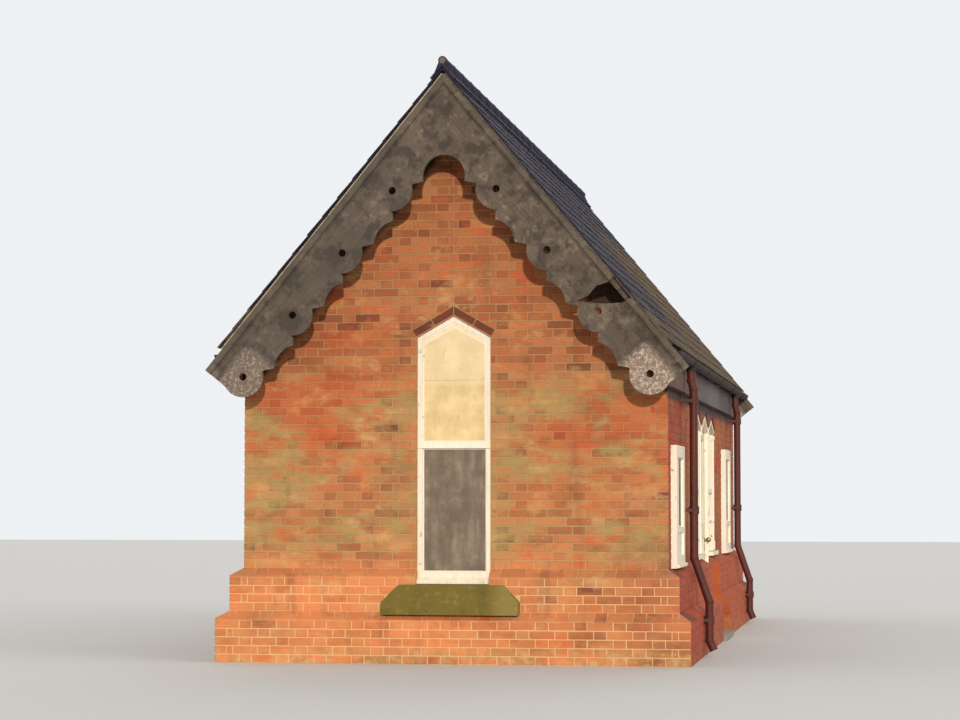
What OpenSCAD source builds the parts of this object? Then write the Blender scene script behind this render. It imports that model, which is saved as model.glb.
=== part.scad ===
// Small brick waiting-room building with a steep slated roof and pierced bargeboards.
// X points to the platform edge, Y runs along the platform, Z is up.
// The origin is at platform level under the middle of the building.

/* [Walls] */
// Length of the upper brickwork along the platform
wall_len = 8800; // [5000:10:12000]
// Width of the upper brickwork across the gables
wall_wid = 3776; // [3000:1:5000]
// Thickness of the one-brick walls
wall_t = 229; // [215:1:343]
// How far each plinth step stands out
step_out = 104; // [50:1:130]
// Top of the lower plinth step
step_low = 450; // [300:5:600]
// Top of the upper plinth step
step_high = 825; // [700:5:1000]
// Height of the splay on each plinth step
splay_h = 75; // [30:5:90]
// Thickness of the floor
floor_t = 60; // [40:5:150]

/* [Roof] */
// Pitch of both roof slopes in degrees
pitch = 50.5; // [40:0.5:60]
// Height of the slates' upper faces where they meet at the ridge
ridge_z = 5175; // [4500:5:5600]
// Half the width of the roof over the slates
eave_x = 1993; // [1900:1:2200]
// How far the slates run past the gable walls
verge_out = 580; // [300:5:700]
// Thickness of slates and battens
slate_t = 30; // [20:1:50]
// Thickness of the boarding under the slates
board_t = 45; // [25:1:60]
// Bottom of the eaves boards
eave_board_z = 2410; // [2300:5:2600]

/* [Bargeboards] */
// Distance from the gable wall to the front of the boards
barge_out = 500; // [350:5:600]
// Thickness of the boards
barge_t = 40; // [25:1:60]
// Distance along the slope from the apex to the first hole
hole_first = 1076; // [900:1:1200]
// Distance between holes along the slope
hole_step = 695; // [500:1:900]
// Number of lobes on each board
lobes = 4; // [2:1:6]
// Depth from the board's top edge to the holes
hole_deep = 295; // [200:1:350]
// Radius of the pierced holes
hole_r = 33; // [20:1:50]
// Radius of the round lobes
lobe_r = 178; // [120:1:220]
// Radius of the round cut under the apex
apex_cut_r = 185; // [120:1:250]

/* [Gable windows] */
// Width of the gable window opening
gwin_w = 660; // [500:5:1200]
// Bottom of the gable window frame
gwin_low = 690; // [500:5:1200]
// Height at which the window's pointed head starts
gwin_spring = 2862; // [2000:1:3200]
// Height of the point of the window's head
gwin_top = 3052; // [2200:1:3400]
// Height of the middle of the meeting rail
gwin_rail = 1920; // [1500:5:2200]

/* [Side windows] */
// Distance from the near corner to the middle of the near side windows
swin_in = 685; // [600:5:1500]
// Distance from the far corner to the middle of the far side windows
swin_far_in = 1720; // [600:5:2400]
// Width of the side window opening
swin_w = 710; // [500:5:1200]
// Bottom and top of the side window openings
swin_low = 890; // [800:5:1200]
// Top of the near side window openings
swin_high = 1850; // [1600:5:2200]
// Top of the far side window openings
swin_far_high = 1930; // [1600:5:2200]

/* [Entrance] */
// Width of the doorway between the posts
door_w = 860; // [760:5:1000]
// Width of each pointed light beside the door
light_w = 780; // [500:5:900]
// Width of the posts
post_w = 90; // [60:5:120]
// Height at which the door's pointed head starts
door_spring = 2130; // [1900:1:2250]
// Rise of the pointed heads for each unit of width from the side
head_slope = 0.3; // [0.2:0.005:1]
// Height of the sills under the side lights
light_sill = 880; // [850:5:1100]

/* [Rainwater] */
// Radius of the downpipes
pipe_r = 38; // [30:1:50]
// Distance from the near corner of the building to the near downpipes
pipe_in = 1250; // [1150:10:3000]
// Distance from the far corner of the building to the far downpipes
pipe_far_in = 1200; // [1150:10:3000]
// Outside radius of the half-round gutters
gutter_r = 58; // [45:1:70]

/* [Hidden] */
$fn = 48;
half_l = wall_len / 2;
half_w = wall_wid / 2;
in_l = half_l - wall_t;
in_w = half_w - wall_t;
slope = tan(pitch);
slate_drop = slate_t / cos(pitch);
board_drop = board_t / cos(pitch);
under_z = ridge_z - slate_drop - board_drop;
foot_w = half_w + 2 * step_out;
foot_l = half_l + 2 * step_out;
verge_y = half_l + verge_out;
barge_front = half_l + barge_out;
barge_back = barge_front - barge_t;
head_w = 70;
entry_half = door_w / 2 + post_w + light_w + head_w;
door_face = half_w - 98;
leaf_t = 45;
door_axis_x = door_face - 8;
leaf_gap = 6;
hinges = [260, 1080, 1800];
brick = [0.74, 0.43, 0.26];
cream = [0.93, 0.87, 0.74];
slate = [0.27, 0.26, 0.33];
timber = [0.42, 0.38, 0.34];
iron = [0.30, 0.11, 0.11];
stone = [0.47, 0.48, 0.26];
pane = [0.45, 0.45, 0.44, 0.5];
eave_face = half_w + 47;
gutter_x = eave_face + gutter_r;
gutter_z = 2700;
near_win_y = swin_in - half_l;
far_win_y = half_l - swin_far_in;
near_pipe_y = pipe_in - half_l;
far_pipe_y = half_l - pipe_far_in;

// Draws a shape given in X and Z and runs it from y0 to y1
module along_y(y0, y1) {
    translate([0, y1, 0]) rotate([90, 0, 0]) linear_extrude(y1 - y0) children();
}

// Draws a shape given in Y and Z and runs it from x0 to x1
module along_x(x0, x1) {
    translate([x0, 0, 0]) rotate([90, 0, 90]) linear_extrude(x1 - x0) children();
}

// Pointed outline with its foot at z0, its shoulders at z1 and its point at z2
module pointed(w, z0, z1, z2) {
    polygon([[-w / 2, z0], [w / 2, z0], [w / 2, z1], [0, z2], [-w / 2, z1]]);
}

// Face of a wall with its two plinth steps, from the given inner line outwards
function stepped_face(face, top) = [
    [face + 2 * step_out, 0],
    [face + 2 * step_out, step_low - splay_h],
    [face + step_out, step_low],
    [face + step_out, step_high - splay_h],
    [face, step_high],
    [face, top]
];

// Height of the underside of the roof over a point across the building
function under(x) = under_z - x * slope;

// The same points on the other side of the middle, in reverse order
function mirrored(pts) = [for (i = [len(pts) - 1 : -1 : 0]) [-pts[i][0], pts[i][1]]];

// Brickwork of a gable wall at the near end, with mitred plinths
module gable_brick() {
    half = stepped_face(half_w, under(half_w));
    intersection() {
        along_y(-foot_l, -in_l) polygon(concat(half, [[0, under_z]], mirrored(half)));
        mirror([0, 1, 0])
            along_x(-foot_w, foot_w)
                polygon(concat([[in_l, 0]], stepped_face(half_l, ridge_z), [[in_l, ridge_z]]));
    }
}

// Sloping stone sill under a gable window
module gable_sill() {
    intersection() {
        along_y(-foot_l - 45, -half_l + 100)
            polygon([[-605, 430], [605, 430], [605, 540], [465, gwin_low], [-465, gwin_low],
                     [-605, 540]]);
        mirror([0, 1, 0])
            along_x(-700, 700)
                polygon([[half_l - 100, 430], [foot_l + 45, 430], [foot_l + 45, 500],
                         [half_l + step_out + 30, gwin_low], [half_l - 100, gwin_low]]);
    }
}

module gable_wall() {
    color(brick)
        difference() {
            gable_brick();
            along_y(-foot_l - 10, -in_l + 10)
                pointed(gwin_w, gwin_low, gwin_spring, gwin_top);
            along_y(-foot_l - 10, -half_l) pointed(gwin_w, 480, gwin_spring, gwin_top);
            gable_sill();
        }
}

module front_gable_wall() gable_wall();
module back_gable_wall() mirror([0, 1, 0]) gable_wall();
module front_sill() color(stone) gable_sill();
module back_sill() mirror([0, 1, 0]) color(stone) gable_sill();

// Profile of a long wall, from its inner face to its stepped outer face
module long_profile(top_in, top_out) {
    polygon(concat([[in_w, 0]], stepped_face(half_w, top_out), [[in_w, top_in]]));
}

// Profile of the low wall under the side lights
module low_profile() {
    intersection() {
        long_profile(3000, 3000);
        translate([in_w - 10, 0]) square([600, light_sill - 40]);
    }
}

// Opening for a side window in a long wall
module side_opening(y, high) {
    translate([in_w - 20, y - swin_w / 2, swin_low])
        cube([wall_t + 2 * step_out + 40, swin_w, high - swin_low]);
}

// Long wall beside the doorway, drawn at the near end
module beside_door() {
    along_y(-in_l, -entry_half) long_profile(under(in_w), under(half_w));
    along_y(-entry_half, -door_w / 2 - post_w) low_profile();
}

module platform_wall_near() {
    color(brick)
        difference() {
            beside_door();
            side_opening(near_win_y, swin_high);
        }
}

module platform_wall_far() {
    color(brick)
        difference() {
            mirror([0, 1, 0]) beside_door();
            side_opening(far_win_y, swin_far_high);
        }
}

// Outline of the pointed heads, grown by the width of the head members
module heads(grow, foot) {
    rise = grow / cos(atan(head_slope));
    for (bay = [[0, door_w], [-door_w / 2 - post_w - light_w / 2, light_w],
                [door_w / 2 + post_w + light_w / 2, light_w]])
        translate([bay[0], 0])
            pointed(bay[1] + 2 * grow, foot, door_spring + rise - grow * head_slope,
                    door_spring + rise + bay[1] / 2 * head_slope);
}

module platform_wall_head() {
    color(brick)
        difference() {
            along_y(-entry_half, entry_half)
                polygon([[in_w, door_spring + 240], [door_face, door_spring + 240],
                         [door_face, door_spring - 60], [half_w, door_spring - 60],
                         [half_w, under(half_w)], [in_w, under(in_w)]]);
            along_x(door_face - 10, half_w + 10) heads(head_w, 0);
        }
}

module rear_wall() {
    color(brick)
        mirror([1, 0, 0])
            difference() {
                along_y(-in_l, in_l) long_profile(under(in_w), under(half_w));
                side_opening(near_win_y, swin_high);
                side_opening(far_win_y, swin_far_high);
            }
}

module floor_slab() {
    color([0.45, 0.42, 0.40])
        translate([-in_w, -in_l, 0]) cube([2 * in_w, 2 * in_l, floor_t]);
}

module threshold() {
    color([0.55, 0.53, 0.48])
        translate([in_w, -door_w / 2 - post_w, 0])
            cube([foot_w - in_w + 40, door_w + 2 * post_w, floor_t + 2]);
}

// White frame of a gable window
module gable_frame() {
    color(cream)
        difference() {
            along_y(-half_l + 40, -half_l + 130)
                pointed(gwin_w, gwin_low, gwin_spring, gwin_top);
            along_y(-half_l, -half_l + 200)
                pointed(gwin_w - 90, gwin_rail + 16, gwin_spring - 14, gwin_top - 52);
            along_y(-half_l, -half_l + 200)
                translate([45 - gwin_w / 2, gwin_low + 86])
                    square([gwin_w - 90, gwin_rail - gwin_low - 102]);
        }
}

// Boards that close the upper sash of a gable window
module gable_panels() {
    color([0.86, 0.80, 0.62])
        difference() {
            along_y(-half_l + 52, -half_l + 72)
                pointed(gwin_w - 90, gwin_rail + 16, gwin_spring - 14, gwin_top - 52);
            translate([-gwin_w, -half_l + 50, 2481]) cube([2 * gwin_w, 8, 5]);
        }
}

module gable_glass() {
    color(pane)
        translate([45 - gwin_w / 2, -half_l + 80, gwin_low + 86])
            cube([gwin_w - 90, 6, gwin_rail - gwin_low - 102]);
}

module front_window_frame() gable_frame();
module back_window_frame() mirror([0, 1, 0]) gable_frame();
module front_window_panels() gable_panels();
module back_window_panels() mirror([0, 1, 0]) gable_panels();
module front_window_glass() gable_glass();
module back_window_glass() mirror([0, 1, 0]) gable_glass();

// Box frame of a side window, proud of the wall, with a solid panel under its glass
module side_frame(y, high) {
    color(cream)
        translate([0, y, 0])
            difference() {
                union() {
                    translate([half_w, -swin_w / 2 - 80, swin_low - 62])
                        cube([55, swin_w + 160, high - swin_low + 123]);
                    translate([half_w - 100, -swin_w / 2, swin_low])
                        cube([100, swin_w, high - swin_low]);
                }
                translate([half_w - 110, 45 - swin_w / 2, swin_low + 295])
                    cube([200, swin_w - 90, high - swin_low - 340]);
                for (x = [half_w - 110, half_w + 35])
                    translate([x, 45 - swin_w / 2, swin_low + 45])
                        cube([95, swin_w - 90, 205]);
            }
}

// Pane of a side window, close behind the face of its frame
module side_glass(y, high) {
    color(pane)
        translate([half_w + 22, y + 45 - swin_w / 2, swin_low + 295])
            cube([6, swin_w - 90, high - swin_low - 340]);
}

module near_window_frame() side_frame(near_win_y, swin_high);
module far_window_frame() side_frame(far_win_y, swin_far_high);
module near_window_glass() side_glass(near_win_y, swin_high);
module far_window_glass() side_glass(far_win_y, swin_far_high);
module rear_near_window_frame() mirror([1, 0, 0]) side_frame(near_win_y, swin_high);
module rear_far_window_frame() mirror([1, 0, 0]) side_frame(far_win_y, swin_far_high);
module rear_near_window_glass() mirror([1, 0, 0]) side_glass(near_win_y, swin_high);
module rear_far_window_glass() mirror([1, 0, 0]) side_glass(far_win_y, swin_far_high);

// One side of a hinge on the door's axis: barrels at the given heights and their plate
module hinge_side(z, barrels, side) {
    for (run = barrels) {
        translate([door_axis_x, -door_w / 2, z + run[0]]) cylinder(r = 7, h = run[1]);
        translate([door_axis_x + 2, side > 0 ? 2 - door_w / 2 : -door_w / 2 - 12, z + run[0]])
            cube([side > 0 ? 8.5 : 7, side > 0 ? 10 : 12, run[1]]);
    }
    if (side > 0)
        translate([door_face - 1, -door_w / 2 + 9, z]) cube([5, 40, 90]);
    else
        translate([door_face - 3, -door_w / 2 - 50, z]) cube([5, 41, 90]);
}

// Three pointed bays in one white frame: a light, the doorway, a light
module entrance_frame() {
    post = door_w / 2 + post_w;
    peak = door_spring + door_w / 2 * head_slope;
    color(cream) {
        difference() {
            along_x(door_face, door_face + 75) heads(head_w, floor_t + 2);
            along_x(door_face - 10, door_face + 90) {
                heads(0, -10);
                for (y = [post, -entry_half - 10])
                    translate([y, -10]) square([entry_half - post + 10, light_sill - 10]);
            }
        }
        for (y = [post - 10, -entry_half])
            translate([door_face, y, light_sill - 40])
                cube([half_w - door_face + 35, entry_half - post + 10, 40]);
        for (y = [post - 10, -post - light_w - 10])
            translate([door_face + 5, y, 1500]) cube([65, light_w + 20, 45]);
        along_x(door_face + leaf_t + 7, door_face + 70)
            difference() {
                pointed(door_w + 20, floor_t + 2, door_spring + 5, peak + 10);
                pointed(door_w - 28, 0, door_spring - 8, peak - 16);
            }
        for (z = hinges) hinge_side(z, [[31, 28]], -1);
    }
}

// Glass in the lights beside the door
module entrance_glass() {
    mid = door_w / 2 + post_w + light_w / 2;
    color(pane)
        for (s = [-1, 1])
            along_x(door_face + 30, door_face + 36)
                translate([s * mid, 0]) {
                    translate([-light_w / 2, light_sill]) square([light_w, 1500 - light_sill]);
                    pointed(light_w, 1545, door_spring, door_spring + light_w / 2 * head_slope);
                }
}

// Pointed outline of the door leaf, drawn smaller by a margin
module leaf_outline(margin, foot) {
    rise = door_w / 2 * head_slope;
    cut = margin / cos(atan(head_slope));
    pointed(door_w - 2 * margin, foot, door_spring - cut + margin * head_slope,
            door_spring + rise - cut);
}

module door_leaf() {
    color(cream)
        difference() {
            union() {
                along_x(door_face + 2, door_face + 2 + leaf_t)
                    leaf_outline(leaf_gap, floor_t + 12);
                translate([door_face - 48, door_w / 2 - 70, 1010]) rotate([0, 90, 0])
                    cylinder(r = 10, h = leaf_t + 100);
                for (x = [door_face - 48, door_face + leaf_t + 52])
                    translate([x, door_w / 2 - 70, 1010]) sphere(r = 26);
            }
            along_x(door_face - 10, door_face + leaf_t + 20)
                intersection() {
                    leaf_outline(110, 0);
                    translate([-door_w, 1180]) square([2 * door_w, 2000]);
                }
            for (x = [door_face, door_face + leaf_t - 10], s = [-1, 1])
                translate([x - 2, s * 165 - 125, 260]) cube([14, 250, 780]);
        }
    color(iron) for (z = hinges) hinge_side(z, [[0, 29], [61, 29]], 1);
}

module door_glass() {
    color(pane)
        along_x(door_face + 22, door_face + 28)
            intersection() {
                leaf_outline(110, 0);
                translate([-door_w, 1180]) square([2 * door_w, 2000]);
            }
}

// Section of one layer of the roof, by its depth below the slates' faces
module slope_layer(x, top, thick) {
    drop = top / cos(pitch);
    deep = (top + thick) / cos(pitch);
    edge = ridge_z - drop - x * slope;
    polygon([[0, ridge_z - drop], [x, edge],
             [x - thick * sin(pitch), edge - thick * cos(pitch)], [0, ridge_z - deep]]);
}

module slate_slope() {
    color(slate) along_y(-verge_y, verge_y) slope_layer(eave_x, 0, slate_t);
}

module board_slope() {
    color(timber)
        along_y(-barge_back, barge_back)
            slope_layer(eave_x - slate_t * sin(pitch), slate_t, board_t);
}

module roof_slates_platform() slate_slope();
module roof_slates_rear() mirror([1, 0, 0]) slate_slope();
module roof_boards_platform() board_slope();
module roof_boards_rear() mirror([1, 0, 0]) board_slope();

// Angled ridge capping with a roll along its top
module ridge_tiles() {
    arm = [150 * cos(pitch), 150 * sin(pitch)];
    lift = [16 * sin(pitch), 16 * cos(pitch)];
    color([0.36, 0.33, 0.36])
        along_y(-verge_y, verge_y)
            translate([0, ridge_z + 0.5])
                union() {
                    polygon([[0, 0], [arm[0], -arm[1]], [arm[0] + lift[0], lift[1] - arm[1]],
                             [0, 16 / cos(pitch)], [-arm[0] - lift[0], lift[1] - arm[1]],
                             [-arm[0], -arm[1]]]);
                    translate([0, 50]) circle(r = 34);
                }
}

// One bargeboard, drawn along its slope with the top edge at zero
module barge_shape() {
    band = hole_deep + 105;
    end = hole_first + (lobes - 1) * hole_step;
    difference() {
        union() {
            translate([-600, -band]) square([end + 600 + 120, band]);
            translate([-600, -band - 70]) square([1160, band + 70]);
            translate([end, -hole_deep]) square([165, hole_deep]);
            for (i = [0 : lobes - 1])
                translate([hole_first + i * hole_step, -hole_deep]) circle(r = lobe_r);
            for (i = [-1 : lobes - 2])
                translate([hole_first + i * hole_step, -hole_deep])
                    difference() {
                        polygon([[146, -100], [146, -125], [198, -172], [465, -165],
                                 [536, -105], [536, -90]]);
                        translate([333, -337]) circle(r = 210);
                    }
        }
        for (i = [0 : lobes - 1])
            translate([hole_first + i * hole_step, -hole_deep]) circle(r = hole_r);
    }
}

// One bargeboard in its place on the near gable, on the platform side
module barge_board() {
    top = ridge_z - slate_drop;
    color(timber)
        intersection() {
            union() {
                along_y(-barge_front, -barge_back)
                    translate([0, top]) rotate(-pitch) barge_shape();
                along_y(-barge_front - 22, -barge_front)
                    translate([0, top]) rotate(-pitch)
                        translate([-600, -55])
                            square([hole_first + (lobes - 1) * hole_step + 765, 55]);
            }
            difference() {
                translate([0, -barge_front - 50, 1000]) cube([4000, 200, 5000]);
                translate([0, 0, top - (hole_deep + 160) / cos(pitch) - apex_cut_r + 2])
                    rotate([90, 0, 0]) cylinder(r = apex_cut_r, h = 8000);
            }
        }
}

// Gap where a piece of the front board has broken away
module broken_piece() {
    place = hole_first + 2 * hole_step;
    along_y(-barge_front - 60, -barge_back + 10)
        translate([0, ridge_z - slate_drop]) rotate(-pitch) translate([place, 0])
            polygon([[-143, 8], [95, 8], [74, -89], [-19, -212], [-95, -294], [-185, -375],
                     [-200, -402], [-190, -375], [-162, -276], [-182, -168], [-138, -60]]);
}

module front_bargeboard_right() {
    difference() {
        barge_board();
        broken_piece();
    }
}
module front_bargeboard_left() mirror([1, 0, 0]) barge_board();
module back_bargeboard_right() mirror([0, 1, 0]) barge_board();
module back_bargeboard_left() mirror([0, 1, 0]) mirror([1, 0, 0]) barge_board();

// Upright eaves board with the soffit board behind it
module eave_boards() {
    color([0.33, 0.33, 0.38])
        along_y(-barge_back, barge_back)
            polygon([[half_w, eave_board_z], [eave_face, eave_board_z],
                     [eave_face, under(eave_face) - 0.5],
                     [eave_face - 24, under(eave_face - 24) - 0.5],
                     [eave_face - 24, eave_board_z + 24], [half_w, eave_board_z + 24]]);
}

module eave_boards_platform() eave_boards();
module eave_boards_rear() mirror([1, 0, 0]) eave_boards();

// Half-round gutter with closed ends, brackets and an outlet over each downpipe
module gutter() {
    color(iron)
        difference() {
            union() {
                along_y(-barge_back, barge_back)
                    translate([gutter_x, gutter_z]) circle(r = gutter_r);
                for (y = [-4500 : 1000 : 4500])
                    translate([eave_face, y - 12, gutter_z - 50]) cube([gutter_r, 24, 40]);
                for (y = [near_pipe_y, far_pipe_y])
                    translate([gutter_x, y, gutter_z - gutter_r - 40])
                        cylinder(r = pipe_r + 6, h = 60);
            }
            along_y(6 - barge_back, barge_back - 6)
                translate([gutter_x, gutter_z]) circle(r = gutter_r - 6);
            translate([eave_face - 100, -2 * half_l, gutter_z])
                cube([400, 4 * half_l, 100]);
        }
}

module gutter_platform() gutter();
module gutter_rear() mirror([1, 0, 0]) gutter();

// Round bar between two points in the plane across the wall
module pipe_run(a, b, r) {
    d = b - a;
    translate([a[0], 0, a[1]]) rotate([0, atan2(d[0], d[1]), 0]) cylinder(r = r, h = norm(d));
}

// Downpipe that drops from the gutter and kicks out over the plinth
module downpipe(y) {
    top = [gutter_x, gutter_z - gutter_r - 40];
    wall_x = half_w + 126;
    foot_x = foot_w + pipe_r + 16;
    path = [top, [top[0], 2520], [wall_x, 2440], [wall_x, 900], [foot_x, 500], [foot_x, 150],
            [foot_x + 40, 60]];
    color(iron)
        translate([0, y, 0]) {
            for (i = [0 : len(path) - 2]) pipe_run(path[i], path[i + 1], pipe_r);
            for (i = [1 : len(path) - 2])
                translate([path[i][0], 0, path[i][1]]) sphere(r = pipe_r + 4);
            for (z = [2300, 1300])
                translate([wall_x, 0, z]) cylinder(r = pipe_r + 9, h = 70);
            for (z = [2320, 1320])
                translate([half_w, -pipe_r - 30, z]) cube([wall_x - half_w, 2 * pipe_r + 60, 30]);
            translate([foot_x, 0, 300]) cylinder(r = pipe_r + 9, h = 70);
            translate([foot_w, -pipe_r - 30, 320])
                cube([foot_x - foot_w, 2 * pipe_r + 60, 30]);
        }
}

module downpipe_platform_near() downpipe(near_pipe_y);
module downpipe_platform_far() downpipe(far_pipe_y);
module downpipe_rear_near() mirror([1, 0, 0]) downpipe(near_pipe_y);
module downpipe_rear_far() mirror([1, 0, 0]) downpipe(far_pipe_y);

floor_slab();
threshold();
front_gable_wall();
back_gable_wall();
platform_wall_near();
platform_wall_far();
platform_wall_head();
rear_wall();
front_sill();
back_sill();
front_window_frame();
back_window_frame();
front_window_panels();
back_window_panels();
front_window_glass();
back_window_glass();
near_window_frame();
far_window_frame();
near_window_glass();
far_window_glass();
rear_near_window_frame();
rear_far_window_frame();
rear_near_window_glass();
rear_far_window_glass();
entrance_frame();
entrance_glass();
door_leaf();
door_glass();
roof_slates_platform();
roof_slates_rear();
roof_boards_platform();
roof_boards_rear();
ridge_tiles();
front_bargeboard_left();
front_bargeboard_right();
back_bargeboard_left();
back_bargeboard_right();
eave_boards_platform();
eave_boards_rear();
gutter_platform();
gutter_rear();
downpipe_platform_near();
downpipe_platform_far();
downpipe_rear_near();
downpipe_rear_far();
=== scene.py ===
import math
import random

import bmesh
import bpy
from mathutils import Matrix, Vector


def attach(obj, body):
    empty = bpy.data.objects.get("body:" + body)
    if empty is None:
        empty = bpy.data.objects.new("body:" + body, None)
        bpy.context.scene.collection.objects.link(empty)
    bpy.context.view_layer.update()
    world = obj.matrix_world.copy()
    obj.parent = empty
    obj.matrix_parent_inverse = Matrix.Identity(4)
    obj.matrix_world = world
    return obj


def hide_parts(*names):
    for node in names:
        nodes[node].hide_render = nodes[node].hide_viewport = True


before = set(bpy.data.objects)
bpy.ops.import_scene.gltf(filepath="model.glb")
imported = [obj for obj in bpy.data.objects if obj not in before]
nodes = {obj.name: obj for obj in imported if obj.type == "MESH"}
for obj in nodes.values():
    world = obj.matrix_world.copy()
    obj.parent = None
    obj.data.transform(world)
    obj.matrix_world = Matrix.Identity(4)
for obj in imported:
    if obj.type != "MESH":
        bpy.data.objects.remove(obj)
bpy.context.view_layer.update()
chance = random.Random(1862)

# the building's own sizes in metres, the same as in the CAD model
house = {
    "halfLength": 4.4,
    "halfWidth": 1.888,
    "insideLength": 4.171,
    "insideWidth": 1.659,
    "step": 0.104,
    "splayCourses": (5, 10),
    "pitch": math.radians(50.5),
    "ridge": 5.175,
    "eaveX": 1.993,
    "vergeY": 4.98,
    "bargeBack": 4.86,
    "bargeFront": 4.9,
    "roofDeep": 0.075,
    "sideTop": 2.405,
}
cosPitch = math.cos(house["pitch"])
sinPitch = math.sin(house["pitch"])
tanPitch = math.tan(house["pitch"])
slopeLength = house["eaveX"] / cosPitch
underRidge = house["ridge"] - house["roofDeep"] / cosPitch


# colours are given as they look on screen, 0 to 255
def shade(red, green, blue):
    parts = [value / 255 for value in (red, green, blue)]
    return [p / 12.92 if p <= 0.04045 else ((p + 0.055) / 1.055) ** 2.4 for p in parts] + [1.0]


def darker(colour, by):
    return tuple(value * by for value in colour)


# a plain value, a colour as on screen, or what another node gives out
def feed(value, socket):
    if isinstance(value, Wire):
        socket.id_data.links.new(value.socket, socket)
    elif socket.type == "RGBA" and len(value) == 3:
        socket.default_value = shade(*value)
    else:
        socket.default_value = value


# a socket by its number, or the one in use of those that share a name
def socketOf(sockets, label):
    if isinstance(label, int):
        return sockets[label]
    return next(s for s in sockets if s.name == label and s.enabled)


def addNode(tree, kind, inputs, giving=0, **settings):
    node = tree.nodes.new(kind)
    for label, value in settings.items():
        setattr(node, label, value)
    for label, value in inputs.items():
        feed(value, socketOf(node.inputs, label))
    return Wire(socketOf(node.outputs, giving))


# what a node gives out, ready for sums and for the nodes that follow it
class Wire:
    def __init__(self, socket):
        self.socket = socket

    def into(self, kind, inputs, giving=0, **settings):
        return addNode(self.socket.id_data, "ShaderNode" + kind, inputs, giving, **settings)

    def sums(self, operation, other=0.0):
        return self.into("Math", {0: self, 1: other}, operation=operation)

    def __add__(self, other):
        return self.sums("ADD", other)

    def __radd__(self, other):
        return self.sums("ADD", other)

    def __sub__(self, other):
        return self.sums("SUBTRACT", other)

    def __rsub__(self, other):
        return self.into("Math", {0: other, 1: self}, operation="SUBTRACT")

    def __mul__(self, other):
        return self.sums("MULTIPLY", other)

    def __truediv__(self, other):
        return self.sums("DIVIDE", other)

    def __gt__(self, other):
        return self.sums("GREATER_THAN", other)

    def __lt__(self, other):
        return self.sums("LESS_THAN", other)

    def __abs__(self):
        return self.sums("ABSOLUTE")

    # 0 at the first value, 1 at the second, with soft ends
    def fade(self, atNone, atFull):
        values = {"Value": self, "From Min": atNone, "From Max": atFull}
        return self.into("MapRange", values, interpolation_type="SMOOTHSTEP")

    # 1 between two heights, with soft ends
    def between(self, low, high, soft):
        return self.fade(low - soft, low + soft) * self.fade(high + soft, high - soft)

    def mix(self, under, over, mode="MIX"):
        return self.into("Mix", {0: self, 6: under, 7: over}, 2, data_type="RGBA", blend_type=mode)

    def tint(self, amount, over):
        return amount.mix(self, over)

    def dim(self, amount, factors):
        return amount.mix(self, (*factors, 1.0), "MULTIPLY")

    # colours from a finish's own list laid over this one in turn, each as strong as its value
    def layered(self, looks, **amounts):
        colour = self
        for name, amount in amounts.items():
            colour = colour.tint(amount, looks[name])
        return colour

    def noise(self, scale, detail, roughness, twist=0.0):
        values = {"Scale": scale, "Detail": detail, "Roughness": roughness, "Distortion": twist}
        return self.into("TexNoise", {"Vector": self, **values})

    def cells(self, scale):
        return self.into("TexVoronoi", {"Vector": self, "Scale": scale}, "Distance")

    def ramp(self, stops):
        made = self.into("ValToRGB", {0: self})
        band = made.socket.node.color_ramp
        while len(band.elements) < len(stops):
            band.elements.new(0.5)
        for element, (where, colour) in zip(band.elements, stops):
            element.position = where
            element.color = shade(*colour)
        return made

    # the tone from 0 to 1 that every brick, slate and tile has been given
    def tone(self):
        return self.into("Attribute", {}, "Fac", attribute_name="tone")

    def axes(self):
        return [Wire(s) for s in self.into("SeparateXYZ", {0: self}).socket.node.outputs]

    def stretched(self, x, y, z):
        return self.into("VectorMath", {0: self, 1: (x, y, z)}, operation="MULTIPLY")

    # the same place measured down the roof slope, along the ridge and out from the slope
    def onSlope(self):
        x, y, z = self.axes()
        across, fall = abs(x), house["ridge"] - z
        down = across * cosPitch + fall * sinPitch
        deep = fall * cosPitch - across * sinPitch
        return self.into("CombineXYZ", {0: down, 1: y, 2: deep}), down, y, deep


# gives the place on the object, and the function that closes the finish
def startFinish(name, roughness, **sockets):
    material = bpy.data.materials.new(name)
    material.use_nodes = True
    tree = material.node_tree
    tree.nodes.clear()
    shader = tree.nodes.new("ShaderNodeBsdfPrincipled")
    output = tree.nodes.new("ShaderNodeOutputMaterial")
    tree.links.new(shader.outputs[0], output.inputs[0])
    shader.inputs["Roughness"].default_value = roughness
    for label, value in sockets.items():
        shader.inputs[label.replace("_", " ")].default_value = value

    def finished(colour, height, strength, distance, **linked):
        bump = {"Strength": strength, "Distance": distance, "Height": height}
        normal = addNode(tree, "ShaderNodeBump", bump)
        for label, value in {"Base Color": colour, "Normal": normal, **linked}.items():
            feed(value, shader.inputs[label])
        return material

    return addNode(tree, "ShaderNodeTexCoord", {}, "Object"), finished


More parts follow.
